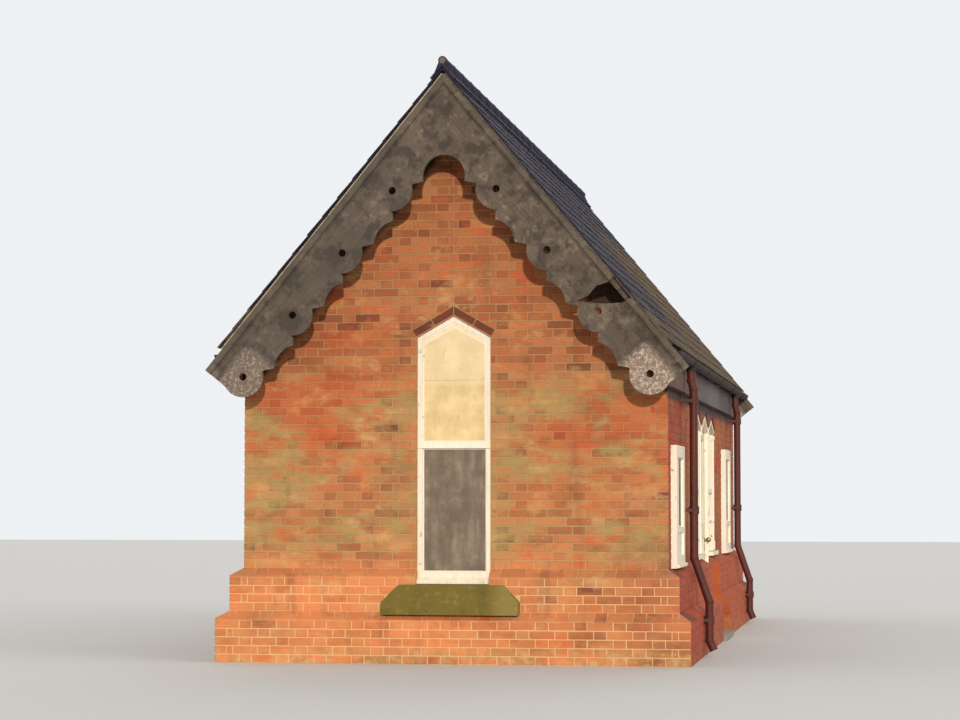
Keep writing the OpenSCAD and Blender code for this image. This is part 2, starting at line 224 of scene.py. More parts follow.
brickFinish = {
    "tones": [
        (0.0, (150, 92, 56)),
        (0.2, (178, 110, 64)),
        (0.4, (194, 124, 74)),
        (0.6, (168, 102, 58)),
        (0.8, (190, 132, 82)),
        (0.93, (158, 96, 58)),
        (1.0, (112, 60, 42)),
    ],
    "mottleDark": (112, 68, 44),
    "mottlePale": (214, 152, 100),
    "lichen": (162, 139, 84),
    "red": (186, 80, 38),
    "pink": (226, 137, 82),
    "cloudPale": (214, 158, 98),
    "fresh": (202, 88, 46),
    "washed": (204, 160, 106),
    "soot": (92, 64, 46),
    "growth": ((140, 132, 74), (196, 168, 122)),
    "paleJoint": (236, 190, 136),
    # painted shadow of the eaves over the entrance
    "overDoor": (84, 60, 42),
    # painted shade on the plinth's ledges
    "ledge": (60, 32, 22),
    # painted shade behind the bargeboards
    "cobweb": (34, 22, 16),
    # these dim what is under them
    # painted shade towards the top of the wall
    "paintedHighShade": (0.88, 0.69, 0.65),
    "cloudDim": (0.7, 0.66, 0.62),
    "cornerDim": (0.76, 0.74, 0.8),
    # painted shade on the long sides, strongest near the front
    "paintedSideShade": (0.82, 0.48, 0.38),
    "paintedNearSideShade": (0.9, 0.68, 0.7),
}


# stains and painted shade of the whole wall, shared by the bricks and the mortar
def wallStainsAndShade(place, colour, strength=1.0):
    f = brickFinish
    x, y, z = place.axes()
    wide, long = abs(x), abs(y)
    broad = place.stretched(1.0, 1.0, 2.4).noise(1.25, 5.0, 0.62)
    patchy = place.stretched(1.0, 1.0, 2.0).noise(6.0, 4.0, 0.6)
    # tan lichen in the middle heights, and red where the rain misses it, under the roof's edge
    lichen = broad.fade(0.4, 0.56) * z.between(0.9, 2.45, 0.25) * patchy.fade(0.3, 0.55)
    red = broad.fade(0.56, 0.4) * z.between(1.6, 3.3, 0.4) * wide.fade(0.2, 1.0)
    colour = colour.layered(f, lichen=lichen * (0.78 * strength), red=red * (0.55 * strength))
    # painted shade: the wall darkens towards the top, standing for the shade under the roof's edge and
    # the bargeboards
    colour = colour.dim(z.fade(2.2, 2.9) * (0.8 * strength), f["paintedHighShade"])
    # pink towards the foot
    pink = z.fade(1.05, 0.6) * broad.fade(0.75, 0.35)
    colour = colour.tint(pink * (0.85 * strength), f["pink"])
    # darker in clouds, and at the foot of the corner on the entrance's side
    cloud = place.stretched(1.0, 1.0, 1.7).noise(2.9, 5.0, 0.62)
    colour = colour.dim(cloud.fade(0.52, 0.7) * (0.75 * strength), f["cloudDim"])
    colour = colour.tint(cloud.fade(0.46, 0.3) * (0.4 * strength), f["cloudPale"])
    colour = colour.dim(x.fade(1.3, 1.8) * z.fade(1.2, 0.8), f["cornerDim"])
    # blotches of fresh orange and of washed-out tan, some a few bricks wide, and soot in streaks
    blotch = place.stretched(1.0, 1.0, 1.9).noise(2.05, 7.0, 0.68)
    streaks = place.stretched(1.0, 1.0, 0.16).noise(5.0, 4.0, 0.6)
    colour = colour.layered(
        f,
        fresh=blotch.fade(0.54, 0.66) * (0.6 * strength),
        washed=blotch.fade(0.44, 0.34) * (0.5 * strength),
        soot=streaks.fade(0.55, 0.75) * (0.3 * strength),
    )
    # growth at the very foot
    growth = place.noise(13.0, 4.0, 0.6).fade(0.42, 0.6).mix(*f["growth"])
    colour = colour.tint(z.fade(0.2, 0.05) * patchy.fade(0.35, 0.6) * 0.55, growth)
    # painted shade: the long sides are redder and darker than the gables, most of all near the front
    side = wide - long > house["halfWidth"] - house["halfLength"] + 0.0015
    colour = colour.dim(side, f["paintedSideShade"]).dim(side * y.fade(-2.2, -3.3), f["paintedNearSideShade"])
    # painted shadow of the eaves: dark olive-brown on the long side above the entrance's heads
    over = side * y.between(-1.5, 1.4, 0.2) * z.fade(2.2, 2.32)
    # painted shade on the plinth's ledges near the corners, and painted shade on the wall behind the
    # bargeboards
    ledge = z.between(0.755, 0.83, 0.006) + z.between(0.38, 0.46, 0.006)
    ledge = ledge * side * (long + patchy * 0.9).fade(4.35, 4.8)
    # painted shade: the wall just under the roof's edge, seen through the bargeboards' holes, is nearly
    # black
    shadeBehindBoards = (place.onSlope()[3] + patchy * 0.06).fade(0.42, 0.36)
    return colour.layered(f, overDoor=over * 0.75, ledge=ledge * 0.7, cobweb=shadeBehindBoards * 0.92)


def makeBrickFinish():
    f = brickFinish
    place, finished = startFinish("orangeBrick", 0.92)
    mottle = place.noise(42.0, 6.0, 0.65)
    dark, pale = mottle.fade(0.5, 0.8) * 0.45, mottle.fade(0.45, 0.25) * 0.35
    colour = place.tone().ramp(f["tones"]).layered(f, mottleDark=dark, mottlePale=pale)
    pits = place.noise(160.0, 5.0, 0.7) + place.cells(85.0) * 0.5
    return finished(wallStainsAndShade(place, colour), pits, 0.55, 0.002)


wallFinish = {
    "mortar": ((158, 126, 84), (190, 158, 112)),
    "bricks": ((158, 94, 56), (190, 120, 72)),
    "course": 0.075,
    "limewash": (214, 206, 184),
    "dado": (112, 128, 104),
    "damp": (150, 136, 108),
}


# the wall itself: mortar outside, brick in the reveals and old limewash inside
def makeWallFinish():
    f = wallFinish
    place, finished = startFinish("mortarWall", 0.95)
    x, y, z = place.axes()
    wide, long = abs(x), abs(y)
    grit = place.noise(120.0, 4.0, 0.7)
    mortar = wallStainsAndShade(place, grit.fade(0.35, 0.7).mix(*f["mortar"]), 0.75)
    pale = mortar.tint(z.fade(0.95, 0.7) * 0.6, brickFinish["paleJoint"])
    gable = long - wide > house["halfLength"] - house["halfWidth"] + 0.0005
    mortar = mortar.tint(gable, pale)
    bed = abs((z / f["course"]).sums("FRACT") - 0.5) < 0.435
    toned = place.stretched(3.0, 3.0, 13.3).noise(1.0, 2.0, 0.5)
    bricks = toned.fade(0.35, 0.65).mix(*f["bricks"])
    reveal = wallStainsAndShade(place, bed.mix(mortar, bricks))
    outside = (wide > house["halfWidth"] - 0.0006).sums("MAXIMUM", long > house["halfLength"] - 0.0006)
    inside = (wide < house["insideWidth"] + 0.001) * (long < house["insideLength"] + 0.001)
    wash = z.fade(1.22, 1.2).mix(f["limewash"], f["dado"])
    wash = wash.tint(place.noise(2.2, 5.0, 0.6).fade(0.52, 0.75) * 0.5, f["damp"])
    return finished(reveal.tint(outside, mortar).tint(inside, wash), grit, 0.6, 0.003)


slateFinish = {
    "tones": [
        (0.0, (39, 34, 47)),
        (0.25, (47, 41, 55)),
        (0.5, (41, 37, 47)),
        (0.75, (53, 47, 59)),
        (1.0, (35, 32, 41)),
    ],
    "cleft": (58, 52, 74),
    "moss": ((94, 80, 63), (114, 98, 79)),
    "lichen": (120, 112, 88),
}


def makeSlateFinish():
    f = slateFinish
    place, finished = startFinish("violetSlate", 0.85, Specular_IOR_Level=0.06)
    sloped, down, along, _ = place.onSlope()
    cleft = sloped.stretched(6.0, 22.0, 6.0).noise(1.0, 6.0, 0.65)
    colour = place.tone().ramp(f["tones"]).tint(cleft.fade(0.5, 0.75) * 0.3, f["cleft"])
    # moss keeps to the far half, the eaves and the lower courses, in clumps
    patch = place.noise(1.6, 6.0, 0.66)
    clumps = place.noise(15.0, 5.0, 0.7).fade(0.36, 0.64)
    beyond = (along + down * 0.9).fade(-2.2, 3.4) * down.fade(0.1, 1.9)
    mossy = beyond.sums("MAXIMUM", down.fade(2.3, 3.0) * 0.7)
    uneven = patch.fade(0.34, 0.66) * 0.55 + clumps * 0.3 + place.tone() * 0.12
    moss = (mossy + uneven).fade(0.72, 1.3)
    colour = colour.tint(moss * 0.9, place.noise(18.0, 4.0, 0.6).mix(*f["moss"]))
    spots = place.cells(9.0).fade(0.16, 0.05) * patch.fade(0.45, 0.6)
    colour = colour.tint(spots * 0.5, f["lichen"])
    return finished(colour, cleft, 0.35, 0.003, Roughness=moss * 0.25 + 0.72)


ridgeFinish = {
    "tones": [(0.0, (38, 34, 56)), (0.5, (48, 42, 64)), (1.0, (34, 32, 48))],
    "worn": (78, 70, 62),
    "mortar": (104, 96, 84),
    "rollUp": 0.051,
    "mortarFrom": 4.974,
}


def makeRidgeFinish():
    f = ridgeFinish
    place, finished = startFinish("ridgeClay", 0.85, Specular_IOR_Level=0.25)
    x, y, z = place.axes()
    colour = place.tone().ramp(f["tones"])
    colour = colour.tint(place.noise(6.0, 6.0, 0.65).fade(0.5, 0.68) * 0.4, f["worn"])
    # weathered mortar fills the roll at both ends
    high = z - (house["ridge"] + f["rollUp"])
    middle = (x * x + high * high).sums("SQRT")
    colour = colour.tint(middle.fade(0.029, 0.024) * (abs(y) > f["mortarFrom"]), f["mortar"])
    return finished(colour, place.noise(90.0, 5.0, 0.65), 0.4, 0.002)


boardFinish = {
    "bare": (95, 81, 67),
    "dark": (74, 62, 52),
    "worn": (112, 96, 80),
    "dirt": (56, 46, 38),
    "flake": (138, 123, 105),
    "speckle": (204, 187, 170),
    "speckleUnder": (138, 116, 99),
    "edge": (120, 108, 92),
    # the painted shade of the shaded board
    "soot": (62, 58, 56),
}


def makeBargeFinish(name, gloom):
    f = boardFinish
    place, finished = startFinish(name, 0.88)
    sloped, down, _, deep = place.onSlope()
    grain = sloped.stretched(3.0, 30.0, 62.0).noise(1.0, 6.0, 0.62, 0.3)
    broad = place.noise(2.6, 5.0, 0.6)
    flaking = place.noise(12.0, 8.0, 0.7).fade(0.5, 0.66) * broad.fade(0.36, 0.6)
    # the drop at the foot keeps more of its paint
    drop = down.fade(2.93, 3.02) * deep.fade(0.14, 0.22)
    left = 0.75 * (1 - gloom)  # how much paint the shaded board still shows
    colour = grain.fade(0.3, 0.7).mix(f["dark"], f["bare"]).layered(
        f,
        worn=broad.fade(0.4, 0.7) * 0.5,
        flake=flaking * left,
        dirt=place.noise(5.5, 7.0, 0.68).fade(0.47, 0.6) * 0.8,
        speckleUnder=drop * left,
        speckle=drop * place.noise(30.0, 8.0, 0.8).fade(0.49, 0.57) * left,
        edge=deep.fade(0.075, 0.06) * 0.3,
    )
    if gloom:
        # painted shade: the shaded board is darkened in broad clouds of this colour
        colour = colour.tint(place.noise(1.4, 4.0, 0.6).fade(0.3, 0.6) * gloom, f["soot"])
    return finished(colour, grain + flaking * 0.35, 0.7, 0.003)


# fine upright grain and the chips of old gloss paint, for the windows and the door
def grainOf(place):
    return place.stretched(40.0, 40.0, 3.0).noise(1.0, 5.0, 0.6)


def chipsOf(place):
    return place.stretched(26.0, 26.0, 12.0).noise(1.0, 8.0, 0.7)


whiteFinish = {
    "coat": (244, 232, 208),
    "bare": (140, 118, 90),
    "dirt": (206, 186, 150),
    "roughness": 0.5,
}


def makeWhiteFinish():
    f = whiteFinish
    place, finished = startFinish("whitePaint", f["roughness"])
    grain = grainOf(place)
    streaks = place.stretched(9.0, 9.0, 1.2).noise(1.0, 5.0, 0.6).fade(0.48, 0.8)
    flaked = chipsOf(place).fade(0.615, 0.655) * 0.9
    colour = grain.fade(0.2, 0.8).mix(darker(f["coat"], 0.93), f["coat"])
    colour = colour.layered(f, dirt=streaks * 0.55, bare=flaked)
    rough = flaked * 0.4 + f["roughness"]
    return finished(colour, grain * 0.4 - flaked, 0.4, 0.0012, Roughness=rough)


creamFinish = {
    "coat": ((206, 176, 118), (230, 202, 150)),
    "upper": (236, 220, 184),
    "upperFrom": 2.42,
    "edge": (240, 226, 196),
    "point": 2.998,
    "fall": 0.535,
    "mottle": (176, 150, 100),
}


# cream boards in a gable window's head, paler along the point and above the joint
def makeCreamFinish():
    f = creamFinish
    place, finished = startFinish("creamBoards", 0.6)
    x, _, z = place.axes()
    fine = place.stretched(1.0, 1.0, 0.5).noise(24.0, 5.0, 0.65)
    under = f["point"] - abs(x) * f["fall"] - z
    colour = place.noise(5.0, 5.0, 0.6).fade(0.3, 0.7).mix(*f["coat"]).layered(
        f,
        upper=z.fade(f["upperFrom"], f["upperFrom"] + 0.04) * 0.3,
        edge=under.fade(0.062, 0.05) * 0.55,
        mottle=fine.fade(0.55, 0.75) * 0.4,
    )
    return finished(colour, fine, 0.25, 0.001)


doorFinish = {
    "coat": ((208, 196, 168), (232, 222, 196)),
    "dirt": (120, 104, 80),
    "bare": (112, 92, 70),
    "iron": (66, 56, 50),
    "brass": (176, 140, 74),
    "middle": 1.8145,
    "halfDeep": 0.0232,
    "knobsFrom": (0.33, 0.9),
    "hingesTo": -0.405,
}


# the door's paint, with brass on its knobs and iron on its hinges
def makeDoorFinish():
    f = doorFinish
    place, finished = startFinish("doorPaint", 0.42)
    x, y, z = place.axes()
    grain = grainOf(place)
    flaked = chipsOf(place).fade(0.62, 0.66)
    proud = abs(x - f["middle"]) > f["halfDeep"]
    knobs = proud * (y > f["knobsFrom"][0]) * (z > f["knobsFrom"][1])
    colour = grain.fade(0.2, 0.8).mix(*f["coat"]).layered(
        f,
        dirt=z.fade(0.5, 0.1) * place.noise(6.0, 4.0, 0.6),
        bare=flaked,
        iron=proud * (y < f["hingesTo"]),
        brass=knobs,
    )
    return finished(colour, grain * 0.4 - flaked, 0.4, 0.0012, Metallic=knobs)


def makeIronFinish(name, coat, rust):
    place, finished = startFinish(name, 0.65, Specular_IOR_Level=0.3)
    patch = place.stretched(1.0, 1.0, 0.5).noise(9.0, 6.0, 0.65)
    fine = place.noise(36.0, 6.0, 0.7)
    worn = fine.fade(0.56, 0.64) * patch.fade(0.4, 0.6)
    colour = patch.fade(0.3, 0.7).mix(coat, darker(coat, 0.8)).tint(worn * 0.5, rust)
    return finished(colour, fine, 0.3, 0.0015, Roughness=worn * 0.35 + 0.55)


gutterFinish = {"coat": ((40, 31, 27), (62, 52, 46)), "rust": (92, 60, 40)}


def makeGutterFinish():
    place, finished = startFinish("gutterPaint", 0.75, Specular_IOR_Level=0.2)
    fine = place.noise(60.0, 4.0, 0.6)
    colour = place.noise(5.0, 6.0, 0.65).fade(0.4, 0.65).mix(*gutterFinish["coat"])
    colour = colour.tint(fine.fade(0.58, 0.66) * 0.5, gutterFinish["rust"])
    return finished(colour, fine, 0.3, 0.0015)


eaveFinish = {
    "near": ((92, 54, 42), (82, 68, 64)),
    # painted reflection of the sky, for the middle
    "worn": (92, 83, 83),
    # painted shade, for the far end
    "beyond": (62, 42, 42),
    "dirt": (66, 48, 42),
    "bare": (130, 112, 100),
}


# red-brown paint at the near end; the blue-grey in the middle is a painted reflection of the sky, and
# the nearly black far end is painted shade
def makeEaveFinish():
    f = eaveFinish
    place, finished = startFinish("eavePaint", 0.7, Specular_IOR_Level=0.3)
    y = place.axes()[1]
    grain = place.stretched(40.0, 2.5, 40.0).noise(1.0, 5.0, 0.6)
    patch = place.stretched(1.0, 0.6, 1.0).noise(5.0, 6.0, 0.65)
    colour = y.fade(-2.9, -1.6).mix(*f["near"]).layered(
        f,
        # painted reflection of the sky, blue-grey in the middle
        worn=y.between(-0.3, 1.2, 0.35),
        # painted shade at the far end
        beyond=y.fade(1.1, 1.9),
        dirt=patch.fade(0.48, 0.66) * 0.55,
        bare=grain.fade(0.3, 0.7) * 0.25,
    )
    return finished(colour, grain, 0.4, 0.0015)


roofBoardFinish = {"wood": ((66, 56, 46), (104, 90, 74)), "gap": (28, 24, 20), "board": 0.145}


def makeRoofBoardFinish():
    f = roofBoardFinish
    place, finished = startFinish("roofBoards", 0.9)
    sloped, down = place.onSlope()[:2]
    grain = sloped.stretched(60.0, 3.0, 30.0).noise(1.0, 6.0, 0.6)
    gap = (down / f["board"]).sums("FRACT") < 0.03
    colour = grain.fade(0.3, 0.7).mix(*f["wood"]).tint(gap, f["gap"])
    return finished(colour, grain * 0.3 - gap, 0.6, 0.004)


def makeStone(name, pale, dark, growth, grown, paleEnd=0.0):
    place, finished = startFinish(name, 0.9)
    grit = place.noise(70.0, 6.0, 0.7)
    patch = place.noise(14.0, 6.0, 0.62)
    colour = grit.fade(0.3, 0.7).mix(dark, pale)
    bare = 0.35 * grown
    colour = colour.tint(patch.fade(0.62 - bare, 0.78 - bare) * 0.9, growth)
    if paleEnd:
        colour = colour.tint(place.axes()[0].fade(0.3, 0.5) * paleEnd, pale)
    colour = colour.tint(place.noise(5.0, 5.0, 0.6).fade(0.5, 0.72) * 0.4, darker(growth, 0.62))
    return finished(colour, grit + patch, 0.5, 0.004)


flagFinish = {
    "flags": {
        "Scale": 1.0,
        "Brick Width": 0.6,
        "Row Height": 0.45,
        "Mortar Size": 0.006,
        "Color1": (134, 126, 114),
        "Color2": (112, 104, 94),
        "Mortar": (64, 58, 52),
    },
    "worn": (84, 78, 70),
}


def makeFlagFinish():
    place, finished = startFinish("floorFlags", 0.85)
    flags = place.into("TexBrick", {"Vector": place, **flagFinish["flags"]}, "Color")
    joints = Wire(flags.socket.node.outputs["Fac"])
    worn = place.noise(9.0, 6.0, 0.65)
    colour = flags.tint(worn.fade(0.45, 0.7) * 0.4, flagFinish["worn"])
    return finished(colour, worn * 0.2 - joints, 0.5, 0.004)


# painted shade: a pane's coat colour stands for the dim room seen through it, with lighter dust smeared
# over
def makeGlass(name, coat, dust, seeThrough):
    place, finished = startFinish(
        name, 0.3, Transmission_Weight=seeThrough, IOR=1.45, Specular_IOR_Level=0.25
    )
    smear = place.stretched(16.0, 16.0, 2.5).noise(1.0, 5.0, 0.6)
    cover = place.noise(5.5, 6.0, 0.65).fade(0.3, 0.75) * smear.fade(0.2, 0.8)
    waves = place.noise(2.4, 2.0, 0.5)
    return finished(cover.mix(coat, dust), waves, 0.08, 0.004, Roughness=cover * 0.4 + 0.28)


finishes = {
    "brick": makeBrickFinish(),
    "wall": makeWallFinish(),
    "slate": makeSlateFinish(),
    "ridge": makeRidgeFinish(),
    "barge": makeBargeFinish("weatheredBoard", 0.0),
    "bargeDark": makeBargeFinish("weatheredBoardShaded", 0.3),
    "white": makeWhiteFinish(),
    "cream": makeCreamFinish(),
    "eave": makeEaveFinish(),
    "door": makeDoorFinish(),
    "iron": makeIronFinish("maroonIron", (86, 33, 22), (122, 70, 44)),
    "darkIron": makeIronFinish("darkIron", (58, 52, 50), (110, 64, 40)),
    "gutter": makeGutterFinish(),
    "roofBoards": makeRoofBoardFinish(),
    "sill": makeStone("sillStone", (150, 128, 70), (98, 82, 36), (106, 92, 26), 0.85, 0.55),
    "threshold": makeStone("stepStone", (164, 156, 140), (126, 118, 104), (112, 108, 84), 0.2),
    "flags": makeFlagFinish(),
    "bedding": makeStone("beddingMortar", (196, 180, 150), (160, 144, 116), (120, 116, 84), 0.3),
    "shadedDustyGlass": makeGlass("shadedDustyGlass", (104, 91, 76), (164, 146, 122), 0.0),
    "sideGlass": makeGlass("sideGlass", (92, 82, 70), (122, 104, 84), 0.5),
}
print("finishes made:", len(finishes))

# each CAD node's finish, by what its name holds
nodeFinishes = [
    ("wall", "wall"),
    ("floor_slab", "flags"),
    ("threshold", "threshold"),
    ("sill", "sill"),
    ("front_window_glass", "shadedDustyGlass"),
    ("back_window_glass", "shadedDustyGlass"),
    ("glass", "sideGlass"),
    ("panels", "cream"),
    ("door_leaf", "door"),
    ("frame", "white"),
    ("slates", "slate"),
    ("roof_boards", "roofBoards"),
    ("ridge", "ridge"),
    ("front_bargeboard_left", "bargeDark"),
    ("bargeboard", "barge"),
    ("eave_boards", "eave"),
    ("gutter", "gutter"),
    ("downpipe", "iron"),
]
for nodeName, node in nodes.items():
    finish = next(kind for part, kind in nodeFinishes if part in nodeName)
    node.data.materials.clear()
    node.data.materials.append(finishes[finish])
print("CAD nodes finished:", len(nodes))


def makePiece(name, shape, finish, body="building", stands=()):
    mesh = meshFrom(shape, name) if isinstance(shape, bmesh.types.BMesh) else shape
    mesh.name = name
    piece = bpy.data.objects.new(name, mesh)
    bpy.context.scene.collection.objects.link(piece)
    mesh.materials.clear()
    mesh.materials.append(finishes[finish])
    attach(piece, body)
    if stands:
        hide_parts(*stands)


def meshFrom(bm, name, smooth=False):
    bmesh.ops.recalc_face_normals(bm, faces=bm.faces)
    for face in bm.faces:
        face.smooth = smooth
    mesh = bpy.data.meshes.new(name)
    bm.to_mesh(mesh)
    bm.free()
    return mesh


def addBox(bm, low, high, edge=0.0, turn=None):
    low, high = Vector(low), Vector(high)
    shape = Matrix.Translation((low + high) / 2) @ Matrix.Diagonal((*(high - low), 1.0))
    made = bmesh.ops.create_cube(bm, size=1.0, matrix=(turn @ shape) if turn else shape)
    if edge:
        edges = {e for v in made["verts"] for e in v.link_edges}
        bmesh.ops.bevel(bm, geom=list(edges), offset=edge, segments=1, affect="EDGES", profile=0.5)


# a closed solid between two rings of points
def addSolid(bm, near, far):
    near, far = ([bm.verts.new(p) for p in ring] for ring in (near, far))
    bm.faces.new(near)
    bm.faces.new(far[::-1])
    for i in range(len(near)):
        j = (i + 1) % len(near)
        bm.faces.new((near[i], far[i], far[j], near[j]))


def addPrism(bm, outline, push):
    addSolid(bm, outline, [Vector(p) + Vector(push) for p in outline])


# the node tree that lays one shape on every marked spot
def makeLayingTree():
    tree = bpy.data.node_groups.new("layPieces", "GeometryNodeTree")
    for label, kind in (
        ("Spots", "Geometry"),
        ("Piece", "Object"),
        ("Slip", "Float"),
        ("Tilt", "Float"),
        ("Wear", "Float"),
        ("Wear Size", "Float"),
        ("Seed", "Int"),
        ("Finish", "Material"),
    ):
        tree.interface.new_socket(label, in_out="INPUT", socket_type="NodeSocket" + kind)
    tree.interface.new_socket("Laid", in_out="OUTPUT", socket_type="NodeSocketGeometry")
    given = {s.name: Wire(s) for s in tree.nodes.new("NodeGroupInput").outputs}

    def add(kind, inputs, giving=0, **settings):
        return addNode(tree, "GeometryNode" + kind, inputs, giving, **settings)

    def attribute(name):
        return add("InputNamedAttribute", {"Name": name}, "Attribute", data_type="FLOAT_VECTOR")

    def anyFrom(low, high, step, kind):
        values = {"Min": low, "Max": high, "Seed": given["Seed"] + step}
        return addNode(tree, "FunctionNodeRandomValue", values, "Value", data_type=kind)

    # a way times a length
    def scaled(way, length):
        return way.into("VectorMath", {0: way, "Scale": length}, operation="SCALE")

    def summed(first, second):
        return first.into("VectorMath", {0: first, 1: second}, operation="ADD")

    corner = Vector((1, 1, 1))
    slip = scaled(anyFrom(-corner, corner, 1, "FLOAT_VECTOR"), given["Slip"])
    lean = scaled(anyFrom(-corner, corner, 2, "FLOAT_VECTOR"), given["Tilt"])
    spots = {
        "Points": add("SetPosition", {"Geometry": given["Spots"], "Offset": slip}),
        "Instance": add("ObjectInfo", {"Object": given["Piece"]}, "Geometry"),
        "Rotation": summed(attribute("turn"), lean),
        "Scale": attribute("size"),
    }
    tone = anyFrom(0.0, 1.0, 3, "FLOAT")
    toned = {"Geometry": add("InstanceOnPoints", spots), "Name": "tone", "Value": tone}
    laid = add("StoreNamedAttribute", toned, data_type="FLOAT", domain="INSTANCE")
    rough = {"Vector": add("InputPosition", {}), "Scale": given["Wear Size"], "Detail": 1.0}
    rough = addNode(tree, "ShaderNodeTexNoise", rough, "Color")
    wobble = scaled(summed(rough, -corner / 2), given["Wear"])
    worn = add("SetPosition", {"Geometry": add("RealizeInstances", {0: laid}), "Offset": wobble})
    dressed = add("SetMaterial", {"Geometry": worn, "Material": given["Finish"]})
    feed(dressed, tree.nodes.new("NodeGroupOutput").inputs[0])
    return tree


layingTree = makeLayingTree()
layingSockets = {s.name: s.identifier for s in layingTree.interface.items_tree if s.in_out == "INPUT"}
plainLay = {"Slip": 0.0, "Tilt": 0.0, "Wear": 0.0, "Wear_Size": 20.0}


# spots are (place, size, turn); the result is one plain mesh
def layPieces(name, spots, source, finish, slot, stands=(), **values):
    marks = bpy.data.meshes.new(name + "Spots")
    marks.from_pydata([s[0] for s in spots], [], [])
    for label, index in (("size", 1), ("turn", 2)):
        layer = marks.attributes.new(label, "FLOAT_VECTOR", "POINT")
        layer.data.foreach_set("vector", [c for s in spots for c in s[index]])
    holder = bpy.data.objects.new(name + "Spots", marks)
    shape = bpy.data.objects.new(name + "Shape", source)
    for obj in (holder, shape):
        bpy.context.scene.collection.objects.link(obj)
    modifier = holder.modifiers.new("lay", "NODES")
    modifier.node_group = layingTree
    given = {"Piece": shape, "Finish": finishes[finish], **plainLay, **values}
    for label, value in given.items():
        modifier[layingSockets[label.replace("_", " ")]] = value
    graph = bpy.context.evaluated_depsgraph_get()
    mesh = bpy.data.meshes.new_from_object(
        holder.evaluated_get(graph), preserve_all_data_layers=True, depsgraph=graph
    )
    for obj in (holder, shape):
        bpy.data.objects.remove(obj)
    makePiece(name, mesh, finish, stands=stands)


brickWork = {
    "stretcher": 0.215,
    "header": 0.1025,
    "closer": 0.046,
    "height": 0.065,
    "joint": 0.010,
    "course": 0.075,
    "proud": 0.004,
    "depth": 0.028,
    "edge": 0.0035,
    "cornerCourses": 36,
    "leastSize": (0.02, 0.012),  # a smaller cut piece is left to the mortar
    "leastArea": 0.0006,
    "lay": {"Slip": 0.0012, "Tilt": 0.006, "Wear": 0.003, "Wear_Size": 45.0},
}


def brickShape():
    b = brickWork
    bm = bmesh.new()
    half = b["stretcher"] / 2
    low = (-half, -b["proud"], -b["height"] / 2)
    high = (half, b["depth"], b["height"] / 2)
    for v in bmesh.ops.create_cube(bm, size=1.0)["verts"]:
        v.co = Vector([low[i] if v.co[i] < 0 else high[i] for i in range(3)])
    front = [e for e in bm.edges if all(v.co.y < 0 for v in e.verts)]
    bmesh.ops.bevel(bm, geom=front, offset=b["edge"], segments=1, affect="EDGES")
    return meshFrom(bm, "brickShape")


def cornerShape():
    b = brickWork
    bm = bmesh.new()
    half = Vector((b["stretcher"], b["header"], b["height"])) / 2
    addBox(bm, -half, half, b["edge"])
    return meshFrom(bm, "cornerShape")


# one course from corner to corner, worked in from both ends to a fitted middle
def courseRuns(total, longFirst):
    b = brickWork
    joint = b["joint"]
    runs, at, count = [], 0.0, 0
    while True:
        length = b["header"] if count % 2 else b["stretcher"]
        if not longFirst and count < 2:
            length = (b["header"], b["closer"])[count]
        if at + length > total / 2 - 0.04:
            break
        runs.append((at, at + length))
        at += length + joint
        count += 1
    left = total - 2 * at
    pieces = max(1, round((left + joint) / (b["stretcher"] + joint)))
    width = (left - joint * (pieces - 1)) / pieces
    starts = [at + i * (width + joint) for i in range(pieces)]
    middle = [(start, start + width) for start in starts]
    return runs + middle + [(total - q, total - p) for p, q in reversed(runs)]


# each corner of an outline with the next one
def sidesOf(outline):
    return zip(outline, outline[1:] + outline[:1])


# the part of a flat outline on one side of a line: keeps a*s + b*z <= c
def clipped(outline, a, b, c):
    kept = []
    for (s0, z0), (s1, z1) in sidesOf(outline):
        d0, d1 = a * s0 + b * z0 - c, a * s1 + b * z1 - c
        if d0 <= 0:
            kept.append((s0, z0))
        if (d0 < 0 < d1) or (d1 < 0 < d0):
            part = d0 / (d0 - d1)
            kept.append((s0 + (s1 - s0) * part, z0 + (z1 - z0) * part))
    return kept


def areaOf(outline):
    return abs(sum(p[0] * q[1] - q[0] * p[1] for p, q in sidesOf(outline))) / 2


# cuts one convex opening, given anticlockwise, out of a brick; a brick clear of it stays whole
def cutAway(outline, opening):
    edges = []
    for (s0, z0), (s1, z1) in sidesOf(opening):
        a, b = z1 - z0, s0 - s1
        edges.append((a, b, a * s0 + b * z0))
    inside = outline
    for edge in edges:
        inside = clipped(inside, *edge)
        if len(inside) < 3 or areaOf(inside) < 1e-6:
            return [outline]
    pieces, rest = [], outline
    for a, b, c in edges:
        outer = clipped(rest, -a, -b, -c)
        rest = clipped(rest, a, b, c)
        if len(outer) > 2 and areaOf(outer) > 0.0003:
            pieces.append(outer)
    return pieces


def boxOutline(s0, z0, s1, z1):
    return [(s0, z0), (s1, z0), (s1, z1), (s0, z1)]


def mirrored(outline):
    return [(-s, z) for s, z in reversed(outline)]


# the window of a gable, the ring of dark bricks over its head and the stone under it
gableWindow = {
    "half": 0.334,
    "low": 0.48,
    "shoulder": 2.862,
    "point": 3.056,
    "ring": 0.079,
    "ringTilt": math.atan2(0.19, 0.33),
    "ringBricks": 2,
    "ringBand": (0.008, 0.07),
    "sill": [
        (-0.61, 0.425),
        (0.61, 0.425),
        (0.61, 0.545),
        (0.469, 0.695),
        (-0.469, 0.695),
        (-0.61, 0.545),
    ],
}


def gableOpenings():
    w = gableWindow
    half, shoulder, tilt = w["half"], w["shoulder"], w["ringTilt"]
    foot = shoulder - 0.001
    side = (half + w["ring"] * math.sin(tilt), shoulder + w["ring"] * math.cos(tilt))
    head = [(half, foot), side, (0.0, w["point"] + w["ring"] / math.cos(tilt)), (-side[0], side[1])]
    return [boxOutline(-half, w["low"], half, shoulder), [(-half, foot), *head], w["sill"]]


